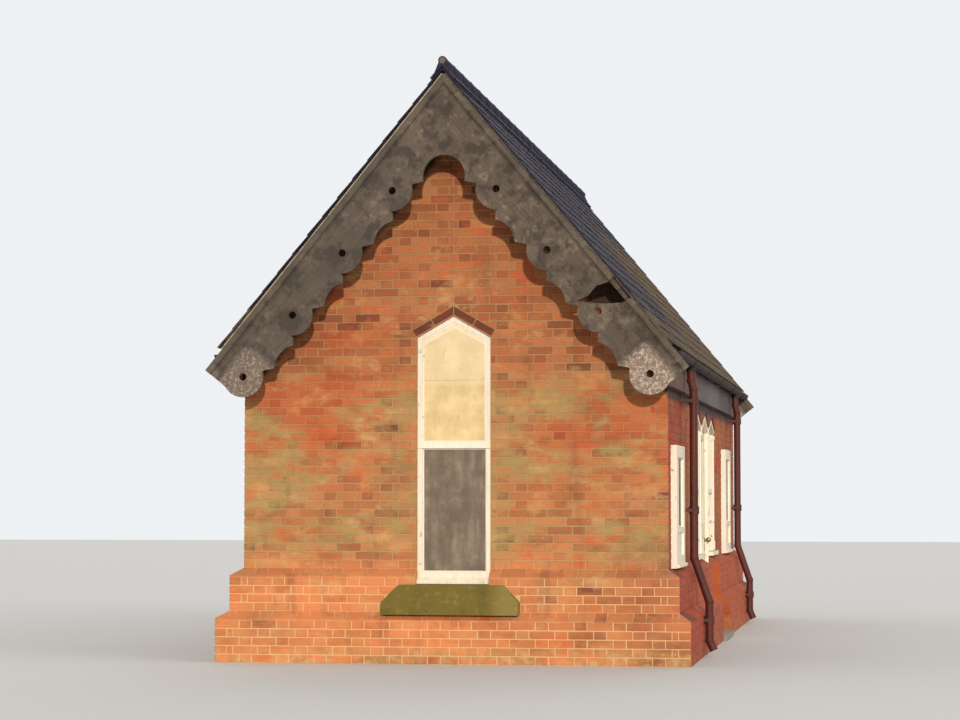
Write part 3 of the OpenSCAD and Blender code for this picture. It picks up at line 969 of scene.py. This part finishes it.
sideWindow = {
    "half": 0.439,
    "low": 0.824,
    "over": 0.065,
    "places": {"Near": (-3.715, 1.85), "Far": (2.68, 1.93)},  # middle, and top of the opening
}
# the pointed bays are (middle, half width, foot, point)
entrance = {
    "door": (0.0, 0.504, 0.5, 2.337),
    "doorFoot": (-0.524, -0.1, 0.524, 0.9),
    "lights": [(-0.91, 0.464, 0.836, 2.325), (0.91, 0.464, 0.836, 2.325)],
    "shoulder": 2.186,
}


# the hole for a side window's frame, from its middle and the top of its opening
def sideWindowOutline(middle, high):
    w = sideWindow
    return boxOutline(middle - w["half"], w["low"], middle + w["half"], high + w["over"])


# the hole of one pointed bay of the entrance
def headOutline(middle, half, low, point):
    shoulder = entrance["shoulder"]
    left, right = middle - half, middle + half
    return [(left, low), (right, low), (right, shoulder), (middle, point), (left, shoulder)]


windowPlaces = sideWindow["places"].values()
platformOpenings = [sideWindowOutline(*place) for place in windowPlaces]
platformOpenings.append(boxOutline(*entrance["doorFoot"]))
platformOpenings += [headOutline(*head) for head in (entrance["door"], *entrance["lights"])]
# seen from outside, the rear's right is its near end
rearOpenings = [sideWindowOutline(-middle, high) for middle, high in windowPlaces]

# the four faces; s runs to the right as each face is looked at
gableFace = {"gable": True, "half": house["halfWidth"], "plane": house["halfLength"], "top": underRidge}
sideFace = {
    "gable": False,
    "half": house["halfLength"],
    "plane": house["halfWidth"],
    "top": house["sideTop"],
}
wallFaces = {
    "frontGable": {"out": (0, -1, 0), "openings": gableOpenings(), **gableFace},
    "platformSide": {"out": (1, 0, 0), "openings": platformOpenings, **sideFace},
    "backGable": {"out": (0, 1, 0), "openings": gableOpenings(), **gableFace},
    "rearSide": {"out": (-1, 0, 0), "openings": rearOpenings, **sideFace},
}


# how far a course stands out at the plinth
def stepOut(course):
    low, high = house["splayCourses"]
    return house["step"] * (2 if course <= low else 1 if course <= high else 0)


# what is left of one brick once the roof and the openings have cut it
def brickOutlines(face, outline, splay):
    shapes = [outline]
    if face["gable"]:
        for side in (1, -1):
            shapes = [clipped(s, side * tanPitch, 1.0, underRidge - 0.006) for s in shapes]
    shapes = [s for s in shapes if len(s) > 2]
    for opening in face["openings"]:
        if splay and opening[0][1] > outline[0][1]:
            continue  # the sloping bricks run on under a sill
        shapes = [piece for s in shapes for piece in cutAway(s, opening)]
    return shapes


# sorts the bricks of a face: whole ones, cut ones, and those that slope out to a wider step
def sortBricks(face):
    b = brickWork
    spots, cuts, splays = [], [], []
    for course in range(int(face["top"] / b["course"]) + 1):
        z0 = course * b["course"] + b["joint"] / 2
        z1 = z0 + b["height"]
        if z1 > face["top"] and not face["gable"]:
            break
        step = stepOut(course)
        reach = face["half"] + step + b["proud"]
        runs = courseRuns(2 * reach, (course % 2 == 0) == face["gable"])
        splay = course in house["splayCourses"]
        for index, (p, q) in enumerate(runs):
            ends = index in (0, len(runs) - 1)
            if ends and not splay:
                continue  # the corner bricks are laid on their own
            for outline in brickOutlines(face, boxOutline(p - reach, z0, q - reach, z1), splay):
                low, high = (tuple(pick(v[i] for v in outline) for i in (0, 1)) for pick in (min, max))
                wide, tall = high[0] - low[0], high[1] - low[1]
                if wide < b["leastSize"][0] or tall < b["leastSize"][1]:
                    continue
                if splay:
                    splays.append((low, high, step, ends))
                elif abs(areaOf(outline) - wide * tall) < 1e-7:
                    middle = ((low[0] + high[0]) / 2, (low[1] + high[1]) / 2)
                    spots.append((middle, step, (wide / b["stretcher"], 1.0, tall / b["height"])))
                elif areaOf(outline) > b["leastArea"]:
                    cuts.append((outline, step))
    return spots, cuts, splays


# the two ends of a splayed brick, which slopes from the step below to the face above
def splayRings(face, low, high, step, ends):
    b = brickWork
    limit = face["half"] + step + b["proud"]
    outer = face["plane"] + step + b["proud"]
    inner = outer - house["step"]
    bed, foot = high[1] + b["joint"] * 0.5, low[1] - b["joint"] * 0.6
    back, lip = inner - 0.02, foot + 0.012
    section = [(back, foot), (outer, foot), (outer, lip), (inner, bed), (back, bed)]
    for s in (low[0], high[0]):
        atCorner = ends and abs(s) > limit - 0.02
        yield [(math.copysign(limit - (outer - o), s) if atCorner else s, o, z) for o, z in section]


def layFace(name, face):
    b = brickWork
    out = Vector(face["out"])
    along = Vector((0, 0, 1)).cross(out)
    turn = (0.0, 0.0, math.atan2(along.y, along.x))

    def onFace(s, o, z):
        return along * s + out * o + Vector((0, 0, z))

    whole, cuts, splays = sortBricks(face)
    spots = [(tuple(onFace(s, face["plane"] + step, z)), size, turn) for (s, z), step, size in whole]
    layPieces(name + "Bricks", spots, brickShape(), "brick", "brick", Seed=len(name), **b["lay"])
    bm = bmesh.new()
    tones = bm.verts.layers.float.new("tone")

    def addToned(near, far, value):
        start = len(bm.verts)
        addSolid(bm, near, far)
        bm.verts.ensure_lookup_table()
        for v in bm.verts[start:]:
            v[tones] = value

    ring = [(outline, 0.0) for outline in ringBricks()] if face["gable"] else []
    for index, (outline, step) in enumerate(cuts + ring):
        front = face["plane"] + step + b["proud"]
        back = face["plane"] + step - b["depth"]
        tone = chance.random() if index < len(cuts) else 1.0
        addToned(*([onFace(s, o, z) for s, z in outline] for o in (front, back)), tone)
    for splay in splays:
        near, far = ([onFace(*p) for p in ring] for ring in splayRings(face, *splay))
        addToned(near, far, chance.random())
    makePiece(name + "CutBricks", bm, "brick")
    print(name, "bricks:", len(spots), "cut bricks:", len(cuts) + len(ring) + len(splays))


# a thin ring of dark bricks over the pointed head of a gable window
def ringBricks():
    w = gableWindow
    way = Vector((math.cos(w["ringTilt"]), math.sin(w["ringTilt"])))
    across = Vector((-way.y, way.x))
    start = Vector((-w["half"], w["shoulder"]))
    step = math.hypot(w["half"], w["point"] - w["shoulder"]) / w["ringBricks"]
    low, high = w["ringBand"]
    made = []
    for i in range(w["ringBricks"]):
        last = i == w["ringBricks"] - 1
        a, b = i * step + 0.004, (i + 1) * step - 0.005 + (0.08 if last else 0.0)
        corners = [start + way * s + across * z for s, z in boxOutline(a, low, b, high)]
        outline = clipped([tuple(c) for c in corners], 1.0, 0.0, -0.004)
        made += [outline, mirrored(outline)]
    return made


# the height of a course's middle
def middleOf(course):
    b = brickWork
    return course * b["course"] + (b["joint"] + b["height"]) / 2


def layCorners():
    b = brickWork
    spots = []
    for sx, sy in ((1, 1), (1, -1), (-1, 1), (-1, -1)):
        for course in range(b["cornerCourses"]):
            if course in house["splayCourses"]:
                continue
            out = stepOut(course) + b["proud"]
            even = course % 2 == 0
            across, length = (b["stretcher"], b["header"]) if even else (b["header"], b["stretcher"])
            x = sx * (house["halfWidth"] + out - across / 2)
            y = sy * (house["halfLength"] + out - length / 2)
            spots.append(((x, y, middleOf(course)), (1, 1, 1), (0, 0, 0 if even else math.pi / 2)))
    layPieces("cornerBricks", spots, cornerShape(), "brick", "brick", Seed=5, Wear=0.003, Wear_Size=45.0)


doorReturns = {"inside": 1.8, "y": 0.52, "courses": 11}


# short brick faces beside the doorway, where the plinth turns in
def layDoorReturns():
    d = doorReturns
    spots = []
    for side in (1, -1):
        for course in range(d["courses"]):
            step = stepOut(course + 1 if course in house["splayCourses"] else course)
            end = house["halfWidth"] + step
            size = ((end - d["inside"] - 0.004) / brickWork["stretcher"], 1.0, 1.0)
            place = ((d["inside"] + end) / 2, side * d["y"], middleOf(course))
            spots.append((place, size, (0, 0, 0.0 if side > 0 else math.pi)))
    layPieces("doorwayBricks", spots, brickShape(), "brick", "brick", Seed=9, Wear=0.002, Wear_Size=45.0)


for faceName, face in wallFaces.items():
    layFace(faceName, face)
layCorners()
layDoorReturns()
print("brickwork laid")


# the directions of one roof slope, the turn they make and the middle of its eave
def slopeAxes(side):
    along = Vector((0, side, 0))
    up = Vector((-side * cosPitch, 0, sinPitch))
    normal = Vector((side * sinPitch, 0, cosPitch))
    turn = Matrix((along, up, normal)).transposed()
    eave = Vector((side * house["eaveX"], 0, house["ridge"] - house["eaveX"] * tanPitch))
    return along, up, normal, turn, eave


slates = {
    "across": 39,
    "gap": 0.003,
    "length": 0.46,
    "firstLength": 0.3,
    "gauge": 0.209,
    "thick": 0.0065,
    "chips": (0.0, 0.0025, 0.001, 0.003, 0.0),
    "lay": {"Slip": 0.0014, "Tilt": 0.0045, "Wear": 0.0035, "Wear_Size": 22.0},
}


def slateShape(width):
    s = slates
    bm = bmesh.new()
    top, low = [], []
    for y in (0.0, s["length"] * 0.5, s["length"]):
        ring = [(width * (i / 4 - 0.5), y if y else chip) for i, chip in enumerate(s["chips"])]
        for rows, z in ((top, 0.0), (low, -s["thick"])):
            rows.append([bm.verts.new((*p, z)) for p in ring])
    for j in (0, 1):
        for i in range(4):
            bm.faces.new((top[j][i], top[j][i + 1], top[j + 1][i + 1], top[j + 1][i]))
            bm.faces.new((low[j][i + 1], low[j][i], low[j + 1][i], low[j + 1][i + 1]))
        for i in (0, 4):
            bm.faces.new((top[j][i], top[j + 1][i], low[j + 1][i], low[j][i]))
    for i in range(4):
        for end in (0, 2):
            bm.faces.new((low[end][i], low[end][i + 1], top[end][i + 1], top[end][i]))
    return meshFrom(bm, "slateShape")


def laySlates(side, name, node):
    s = slates
    along, up, normal, turn, eave = slopeAxes(side)
    verge = house["vergeY"]
    pitchAcross = 2 * verge / s["across"]
    whole = pitchAcross - s["gap"]
    lean = math.atan2(s["thick"] * 1.05, s["gauge"])
    euler = tuple((turn @ Matrix.Rotation(-lean, 3, "X")).to_euler())
    spots = []
    # row -1 is the short course under the first
    for row in range(-1, int((slopeLength - 0.1) / s["gauge"]) + 1):
        rise = max(row, 0) * s["gauge"]
        length = min(s["length"] if row >= 0 else s["firstLength"], slopeLength - rise - 0.01)
        shift = 0 if row % 2 else 1
        foot = eave + up * rise + normal * (0.001 if row >= 0 else -s["thick"])
        for column in range(s["across"] + shift):
            left = -verge + (column - shift * 0.5) * pitchAcross
            left, right = max(left, -verge), min(left + pitchAcross, verge)
            place = foot + along * side * ((left + right) / 2)
            size = ((right - left - s["gap"]) / whole, length / s["length"], 1.0)
            spots.append((tuple(place), size, euler))
    layPieces(name, spots, slateShape(whole), "slate", "slate", (node,), Seed=21 + side, **s["lay"])
    print(name, "slates:", len(spots))


laySlates(1, "platformSlates", "roof_slates_platform")
laySlates(-1, "rearSlates", "roof_slates_rear")

ridgeTiles = {
    "count": 22,
    "gap": 0.004,
    "arm": 0.15,
    "thick": 0.016,
    "roll": 0.034,
    "rollUp": 0.05,
    "neck": 0.02,
    "collar": 0.05,
    "collarProud": 0.0035,
    "lay": {"Tilt": 0.0025, "Wear": 0.002, "Wear_Size": 14.0},
}


# a tile's section: two arms down the slopes and a round roll; the collar's is a little larger
def ridgeProfile(grow):
    r = ridgeTiles
    half, fall, thick = r["arm"] * cosPitch, r["arm"] * sinPitch, r["thick"] + grow
    left = [
        (-half, -fall),
        (-half - thick * sinPitch, -fall + thick * cosPitch),
        (-r["neck"], thick / cosPitch - r["neck"] * tanPitch),
    ]
    radius = r["roll"] + grow
    angles = [math.radians(215 - i * (250 / 12)) for i in range(13)]
    roll = [(radius * math.cos(angle), r["rollUp"] + radius * math.sin(angle)) for angle in angles]
    return left + roll + mirrored(left) + [(0.0, 0.0)]


def layRidge():
    r = ridgeTiles
    length = 2 * house["vergeY"] / r["count"]
    bm = bmesh.new()
    for long, grow in ((length - r["gap"], 0.0), (r["collar"], r["collarProud"])):
        addPrism(bm, [(x, 0.0, z) for x, z in ridgeProfile(grow)], (0, long, 0))
    bmesh.ops.triangulate(bm, faces=[f for f in bm.faces if len(f.verts) > 4])
    starts = [r["gap"] / 2 - house["vergeY"] + i * length for i in range(r["count"])]
    spots = [((0.0, y, house["ridge"] + 0.001), (1, 1, 1), (0, 0, 0)) for y in starts]
    shape = meshFrom(bm, "ridgeShape")
    layPieces("ridgeTiles", spots, shape, "ridge", "ridge_clay", ("ridge_tiles",), Seed=3, **r["lay"])


layRidge()
print("ridge laid")


soffit = {
    "board": 0.14,
    "pitch": 0.1455,
    "thick": 0.012,
    "purlins": (0.36, 0.7),
    "purlinWide": 0.075,
    "purlinDeep": 0.11,
    "bedding": (0.09, 0.009),
    "beddingBack": 0.02,
    "beddingDeep": 0.0245,
}


# boards, purlins and bedding under the overhang at each gable
def makeVerges():
    s = soffit
    length = house["bargeBack"] - house["halfLength"] - 0.01
    plank, timber, bedding = bmesh.new(), bmesh.new(), bmesh.new()
    half = Vector((s["board"], length, s["thick"])) / 2
    addBox(plank, -half, half, 0.003)
    spots = []
    for side in (1, -1):
        _, up, normal, turn, eave = slopeAxes(side)
        euler = tuple((turn @ Matrix.Rotation(math.pi / 2, 3, "Z")).to_euler())

        def onSlope(rise, depth, y):
            spot = eave + up * rise - normal * depth
            spot.y = y
            return spot

        def addBeam(bm, size, edge, *spot):
            half = Vector(size) / 2
            addBox(bm, -half, half, edge, Matrix.Translation(onSlope(*spot)) @ turn.to_4x4())

        under = house["roofDeep"]
        for end in (1, -1):
            middle = end * (house["halfLength"] + 0.008 + length / 2)
            for i in range(int((slopeLength - 0.25) / s["pitch"])):
                spot = onSlope(0.16 + i * s["pitch"], under + s["thick"] / 2 + 0.0005, middle)
                spots.append((tuple(spot), (1, 1, 1), euler))
            for part in s["purlins"]:
                depth = under + s["thick"] + s["purlinDeep"] / 2
                size = (length, s["purlinWide"], s["purlinDeep"])
                addBeam(timber, size, 0.004, slopeLength * (1 - part), depth, middle)
            size = (s["bedding"][0], slopeLength - 0.06, s["bedding"][1])
            front = end * (house["bargeFront"] - s["beddingBack"])
            addBeam(bedding, size, 0.0, slopeLength / 2 - 0.02, s["beddingDeep"], front)
    plank = meshFrom(plank, "plankShape")
    layPieces("soffitBoards", spots, plank, "roofBoards", "roof_boards", Seed=4, Slip=0.0008)
    makePiece("purlinEnds", timber, "roofBoards")
    makePiece("vergeBedding", bedding, "bedding")


makeVerges()
print("verges boarded")


barge = {
    "below": 0.03,
    "beadAt": 0.068,
    "beadWide": 0.018,
    "beadProud": 0.011,
    "beadSunk": 0.004,
    "end": 3.24,
    "gap": (2.325, 2.555),
}


# a small bead under the top fillet of every bargeboard, broken where the near right board is
def makeBargeBeads():
    b = barge
    start = b["beadAt"] * tanPitch
    for label, side, end, finish in (
        ("frontRight", 1, -1, "barge"),
        ("frontLeft", -1, -1, "bargeDark"),
        ("backRight", 1, 1, "barge"),
        ("backLeft", -1, 1, "barge"),
    ):
        bm = bmesh.new()
        way = Vector((side * cosPitch, 0, -sinPitch))
        deep = Vector((-side * sinPitch, 0, -cosPitch))
        broken = [(start, b["gap"][0]), (b["gap"][1], b["end"])]
        for ends in broken if label == "frontRight" else [(start, b["end"])]:
            rings = []
            for at in ends:
                ring = []
                for i in range(7):
                    angle = math.pi * i / 6
                    aside = b["beadWide"] / 2 * math.cos(angle)
                    mitre = aside * tanPitch if at == start else 0.0
                    spot = way * (at + mitre) + deep * (b["beadAt"] + aside)
                    spot.z += house["ridge"] - b["below"] / cosPitch
                    proud = b["beadProud"] * math.sin(angle) - (b["beadSunk"] if i in (0, 6) else 0.0)
                    spot.y = end * (house["bargeFront"] + proud)
                    ring.append(spot)
                rings.append(ring)
            addSolid(bm, *rings)
        makePiece(label + "BargeBead", bm, finish)


makeBargeBeads()
print("bargeboards dressed")


# mitred strips round a flat outline, standing off a face; outline in (across, z)
def addStrips(bm, outline, width, face, out, rise):
    upright, out = Vector((0, 0, 1)), Vector(out)
    along = upright.cross(out)
    count = len(outline)
    inner = []
    for i in range(count):
        before, here, after = (Vector(outline[(i + k) % count]) for k in (-1, 0, 1))
        first, second = (here - before).normalized(), (after - here).normalized()
        normalA, normalB = Vector((-first.y, first.x)), Vector((-second.y, second.x))
        middle = (normalA + normalB).normalized()
        inner.append(here + middle * (width / max(0.2, middle.dot(normalA))))
    for i in range(count):
        j = (i + 1) % count
        flat = [outline[i], outline[j], inner[j], inner[i]]
        addPrism(bm, [out * face + along * p[0] + upright * p[1] for p in flat], out * rise)


# a box on one of two opposite faces: lows and highs as seen on the face of side 1
def addSideBox(bm, axis, side, low, high, edge):
    low, high = list(low), list(high)
    low[axis], high[axis] = sorted((side * low[axis], side * high[axis]))
    addBox(bm, low, high, edge)


# bars are (half width, back, front, low, high)
gableSash = {
    "plane": house["halfLength"] - 0.045,
    "bars": [
        (0.328, -0.03, 0.014, 0.741, 0.797),
        (0.33, 0.0, 0.02, 1.882, 1.95),
        (0.329, -0.004, 0.057, 0.692, 0.731),
    ],
    "pane": boxOutline(-0.285, 0.797, 0.285, 1.882),
    "paneBead": (0.01, house["halfLength"] - 0.084, 0.02),
    "boards": [(-0.284, 1.937), (0.284, 1.937), (0.284, 2.846), (0.0, 2.998), (-0.284, 2.846)],
    "boardBead": (0.015, house["halfLength"] - 0.053, 0.011),
}


def makeGableSashes():
    w = gableSash
    for label, end in (("front", -1), ("back", 1)):
        bm = bmesh.new()
        for half, near, far, low, high in w["bars"]:
            corners = (-half, w["plane"] + near, low), (half, w["plane"] + far, high)
            addSideBox(bm, 1, end, *corners, 0.003)
        for outline, (wide, plane, rise) in ((w["pane"], w["paneBead"]), (w["boards"], w["boardBead"])):
            addStrips(bm, outline, wide, plane, (0, end, 0), rise)
        makePiece(label + "GableSash", bm, "white")


sideSash = {
    "half": 0.31,
    "bead": 0.014,
    "rise": 0.004,
    "glass": (1.185, 0.045, 0.027),
    "panel": (0.935, 1.14, 0.034),
    "bar": (0.01, 0.024, 0.033),
    "sill": (0.437, 0.04, 0.08),
    "sillHeights": (0.832, 0.862),
}


# the glass stands over a solid panel in every side window
def makeSideSashes():
    w = sideSash
    plane = house["halfWidth"]
    for side, row in ((1, "platform"), (-1, "rear")):
        for where, (middle, high) in sideWindow["places"].items():
            bm = bmesh.new()
            foot, short, proud = w["glass"]
            for low, top, out in ((foot, high - short, proud), w["panel"]):
                flat = boxOutline(side * middle - w["half"], low, side * middle + w["half"], top)
                addStrips(bm, flat, w["bead"], plane + out, (side, 0, 0), w["rise"])
            for (half, near, far), (low, top), edge in (
                (w["bar"], (foot + 0.01, high - short - 0.01), 0.002),
                (w["sill"], w["sillHeights"], 0.004),
            ):
                corners = (plane + near, middle - half, low), (plane + far, middle + half, top)
                addSideBox(bm, 0, side, *corners, edge)
            makePiece(row + where + "Sash", bm, "white")


makeGableSashes()
makeSideSashes()
print("sashes fitted")


# planes are (x, way out, depth of the panels' recess)
doorTrim = {
    "planes": [(1.837, 1, 0.014), (1.792, -1, 0.01)],
    "bead": 0.016,
    "panelProud": 0.007,
    "panels": (0.165, -0.165),
    "panelHalf": 0.125,
    "panelHeights": (0.26, 1.04),
    "glazed": [(-0.32, 1.18), (0.32, 1.18), (0.32, 2.048), (0.0, 2.144), (-0.32, 2.048)],
    "bars": [(-0.011, 0.011, 1.19, 2.13, 0.0), (-0.31, 0.31, 1.56, 1.582, 0.0008)],
    "barPlanes": [(1.8, 1.811), (1.819, 1.832)],
    "weatherBar": ((1.836, -0.4, 0.085), (1.855, 0.4, 0.15)),
    "plates": [(1.837, 1.843, 0.026), (1.786, 1.792, 0.03)],
    "plateAt": (0.36, 1.01),
    "keyhole": ((0.345, 0.9), (0.375, 0.965)),
}


def makeDoorTrim():
    d = doorTrim
    bm = bmesh.new()
    low, high = d["panelHeights"]
    half = d["panelHalf"]
    for plane, side, recess in d["planes"]:
        out = (side, 0, 0)
        for middle in d["panels"]:
            left, right = side * middle - half - 0.01, side * middle + half + 0.01
            flat = boxOutline(left, low - 0.01, right, high + 0.01)
            addStrips(bm, flat, d["bead"], side * plane - 0.001, out, d["panelProud"])
            near, far = sorted(plane - side * depth for depth in (recess + 0.001, recess - 0.006))
            inset = half - 0.03
            addBox(bm, (near, middle - inset, low + 0.03), (far, middle + inset, high - 0.03), 0.005)
        addStrips(bm, d["glazed"], d["bead"], side * plane - 0.016, out, 0.013)
    for y0, y1, z0, z1, back in d["bars"]:
        for x0, x1 in d["barPlanes"]:
            addBox(bm, (x0 + back, y0, z0), (x1 - back, y1, z1), 0.002)
    addBox(bm, *d["weatherBar"], 0.006)
    makePiece("doorMouldings", bm, "door", "door")
    bm = bmesh.new()
    (y0, z0), (y1, z1) = d["keyhole"]
    for x0, x1, radius in d["plates"]:
        place = Matrix.Translation(((x0 + x1) / 2, *d["plateAt"])) @ Matrix.Rotation(math.pi / 2, 4, "Y")
        bmesh.ops.create_cone(
            bm, cap_ends=True, segments=24, radius1=0.03, radius2=radius, depth=x1 - x0, matrix=place
        )
        addBox(bm, (x0 + 0.001, y0, z0), (x1 - 0.001, y1, z1), 0.001)
    makePiece("doorPlates", bm, "darkIron", "door")


entranceTrim = {
    "face": 1.865,
    "posts": [(-1.335, 0.885), (-0.475, 0.07), (0.475, 0.07), (1.335, 0.885)],
    "shaft": 0.016,
    "shaftTop": 2.085,
    "block": 0.034,
    "blockTall": 0.1,
    "cap": (2.08, 2.12),
    "heads": [(0.0, 0.43, 2.259), (0.91, 0.39, 2.247), (-0.91, 0.39, 2.247)],
    "shoulder": 2.13,
    "rise": 0.036,
    "lights": (0.91, -0.91),
    "bars": [(0.01, 0.88, 1.5, 1.858), (0.01, 1.545, 2.235, 1.858), (0.39, 1.19, 1.208, 1.856)],
    "barBack": 1.836,
}


def makeEntranceTrim():
    t = entranceTrim
    bm = bmesh.new()
    face, block = t["face"], t["block"]
    for y, foot in t["posts"]:
        top = foot + t["blockTall"]
        angles = [math.pi * i / 6 for i in range(7)]
        out, aside = t["shaft"] * 0.9, t["shaft"]
        outline = [(face - 0.001 + out * math.sin(a), y + aside * math.cos(a), top) for a in angles]
        addPrism(bm, outline, (0, 0, t["shaftTop"] - top))
        for low, high in ((foot, top), t["cap"]):
            addBox(bm, (face - 0.004, y - block, low), (face + 0.02, y + block, high), 0.004)
    for middle, half, point in t["heads"]:
        for side in (1, -1):
            ends = [(middle + side * half, t["shoulder"]), (middle, point)]
            flat = ends + [(y, z + t["rise"]) for y, z in reversed(ends)]
            addPrism(bm, [(face - 0.002, y, z) for y, z in flat], (0.018, 0, 0))
    for middle in t["lights"]:
        for half, low, high, front in t["bars"]:
            addBox(bm, (t["barBack"], middle - half, low), (front, middle + half, high), 0.002)
    makePiece("entranceMouldings", bm, "white")


makeDoorTrim()
makeEntranceTrim()
print("entrance trimmed")


rainwater = {
    "x": 1.993,
    "z": 2.7,
    "radius": 0.058,
    "joints": [-3.31, -1.48, 0.35, 2.18, 4.01],
    "jointLong": 0.05,
    "jointProud": 0.006,
    "pipes": (-3.15, 3.2),
    "brackets": (2.335, 1.335),
    "boltsAside": 0.055,
    "boltRadius": 0.011,
    "boltX": 2.015,
}


def makeRainwaterFittings():
    r = rainwater
    arc = [math.pi + math.pi * i / 12 for i in range(13)]
    for side, row in ((1, "platform"), (-1, "rear")):
        bm = bmesh.new()
        for y in r["joints"]:
            outline = []
            for proud, angles in ((-0.001, arc), (r["jointProud"], arc[::-1])):
                radius = r["radius"] + proud
                ring = [(r["x"] + radius * math.cos(a), r["z"] + radius * math.sin(a)) for a in angles]
                outline += [(side * x, y, z) for x, z in ring]
            addPrism(bm, outline, (0, r["jointLong"], 0))
        makePiece(row + "GutterJoints", bm, "gutter")
    bm = bmesh.new()
    bmesh.ops.create_icosphere(bm, subdivisions=1, radius=r["boltRadius"])
    for v in bm.verts:
        v.co.z = max(v.co.z, -0.002)
    bolt = meshFrom(bm, "boltShape", True)
    spots = []
    for side in (1, -1):
        turn = (0, side * math.pi / 2, 0)
        for y in r["pipes"]:
            for z in r["brackets"]:
                for aside in (-r["boltsAside"], r["boltsAside"]):
                    spots.append(((side * r["boltX"], y + aside, z), (1, 1, 1), turn))
    layPieces("pipeBolts", spots, bolt, "darkIron", "iron", Seed=8)


makeRainwaterFittings()
print("rainwater goods fitted")


def addToScene(name, data):
    obj = bpy.data.objects.new(name, data)
    bpy.context.scene.collection.objects.link(obj)
    return obj


# the way to shine or to look, in degrees to the left of +Y and up from level
def aim(obj, left, up):
    a, e = math.radians(left), math.radians(up)
    way = Vector((-math.sin(a) * math.cos(e), math.cos(a) * math.cos(e), math.sin(e)))
    obj.rotation_euler = way.to_track_quat("-Z", "Y").to_euler()
    return way


studio = {"floor": (0.62, 0.62, 0.61, 1), "floorHalf": 60, "floorZ": -0.001, "sky": (0.86, 0.88, 0.9, 1)}


def makeStage():
    bm = bmesh.new()
    bmesh.ops.create_grid(bm, x_segments=1, y_segments=1, size=studio["floorHalf"])
    mesh = bpy.data.meshes.new("studioFloor")
    bm.to_mesh(mesh)
    bm.free()
    floor = addToScene("studioFloor", mesh)
    floor.location = (0, 0, studio["floorZ"])
    startFinish("studioFloor", 0.9, Base_Color=studio["floor"])
    mesh.materials.append(bpy.data.materials["studioFloor"])


light = {
    "key": {"strength": 2.35, "elevation": 10, "azimuth": 12, "soft": 1.5, "colour": (1.0, 0.95, 0.88)},
    "fill": {"strength": 0.7, "elevation": 35, "azimuth": 75, "soft": 40, "colour": (1.0, 0.97, 0.93)},
    "left": {"strength": 0.5, "elevation": 35, "azimuth": -100, "soft": 50, "colour": (1.0, 0.98, 0.95)},
    "back": {"strength": 0.6, "elevation": 40, "azimuth": 180, "soft": 50, "colour": (1.0, 0.98, 0.95)},
}
skyLight = {"colour": (1.0, 0.98, 0.95, 1), "strength": 0.46}


# azimuth 0 shines along +Y, as from behind the camera
def makeLamps():
    for name, values in light.items():
        lamp = bpy.data.lights.new(name, "SUN")
        lamp.energy = values["strength"]
        lamp.angle = math.radians(values["soft"])
        lamp.color = values["colour"]
        obj = addToScene(name, lamp)
        obj.location = aim(obj, values["azimuth"], -values["elevation"]) * -20
    world = bpy.data.worlds.new("studioSky")
    bpy.context.scene.world = world
    world.use_nodes = True
    tree = world.node_tree
    tree.nodes.clear()
    path = addNode(tree, "ShaderNodeLightPath", {}).socket.node.outputs
    seen = Wire(path["Is Camera Ray"])
    for ray in ("Is Glossy Ray", "Is Transmission Ray"):
        seen = seen.sums("MAXIMUM", Wire(path[ray]))
    lit = seen.into("Background", {0: skyLight["colour"], 1: skyLight["strength"]})
    plain = seen.into("Background", {0: studio["sky"], 1: 1.0})
    mixed = seen.into("MixShader", {0: seen, 1: lit, 2: plain})
    feed(mixed, tree.nodes.new("ShaderNodeOutputWorld").inputs[0])


# 22 m before the near gable, a little out from the entrance side, low down
camera = {"place": (3.871, -26.6, 1.44), "left": 9.3, "up": 3.1, "lens": 96, "sensor": 36, "reach": 400}


def makeCamera():
    data = bpy.data.cameras.new("stationCamera")
    data.lens, data.sensor_width, data.clip_end = camera["lens"], camera["sensor"], camera["reach"]
    obj = addToScene("stationCamera", data)
    obj.location = camera["place"]
    aim(obj, camera["left"], camera["up"])
    bpy.context.scene.camera = obj


makeStage()
makeLamps()
makeCamera()
bpy.context.scene.view_settings.view_transform = "Standard"
print("stage, lamps and camera placed")
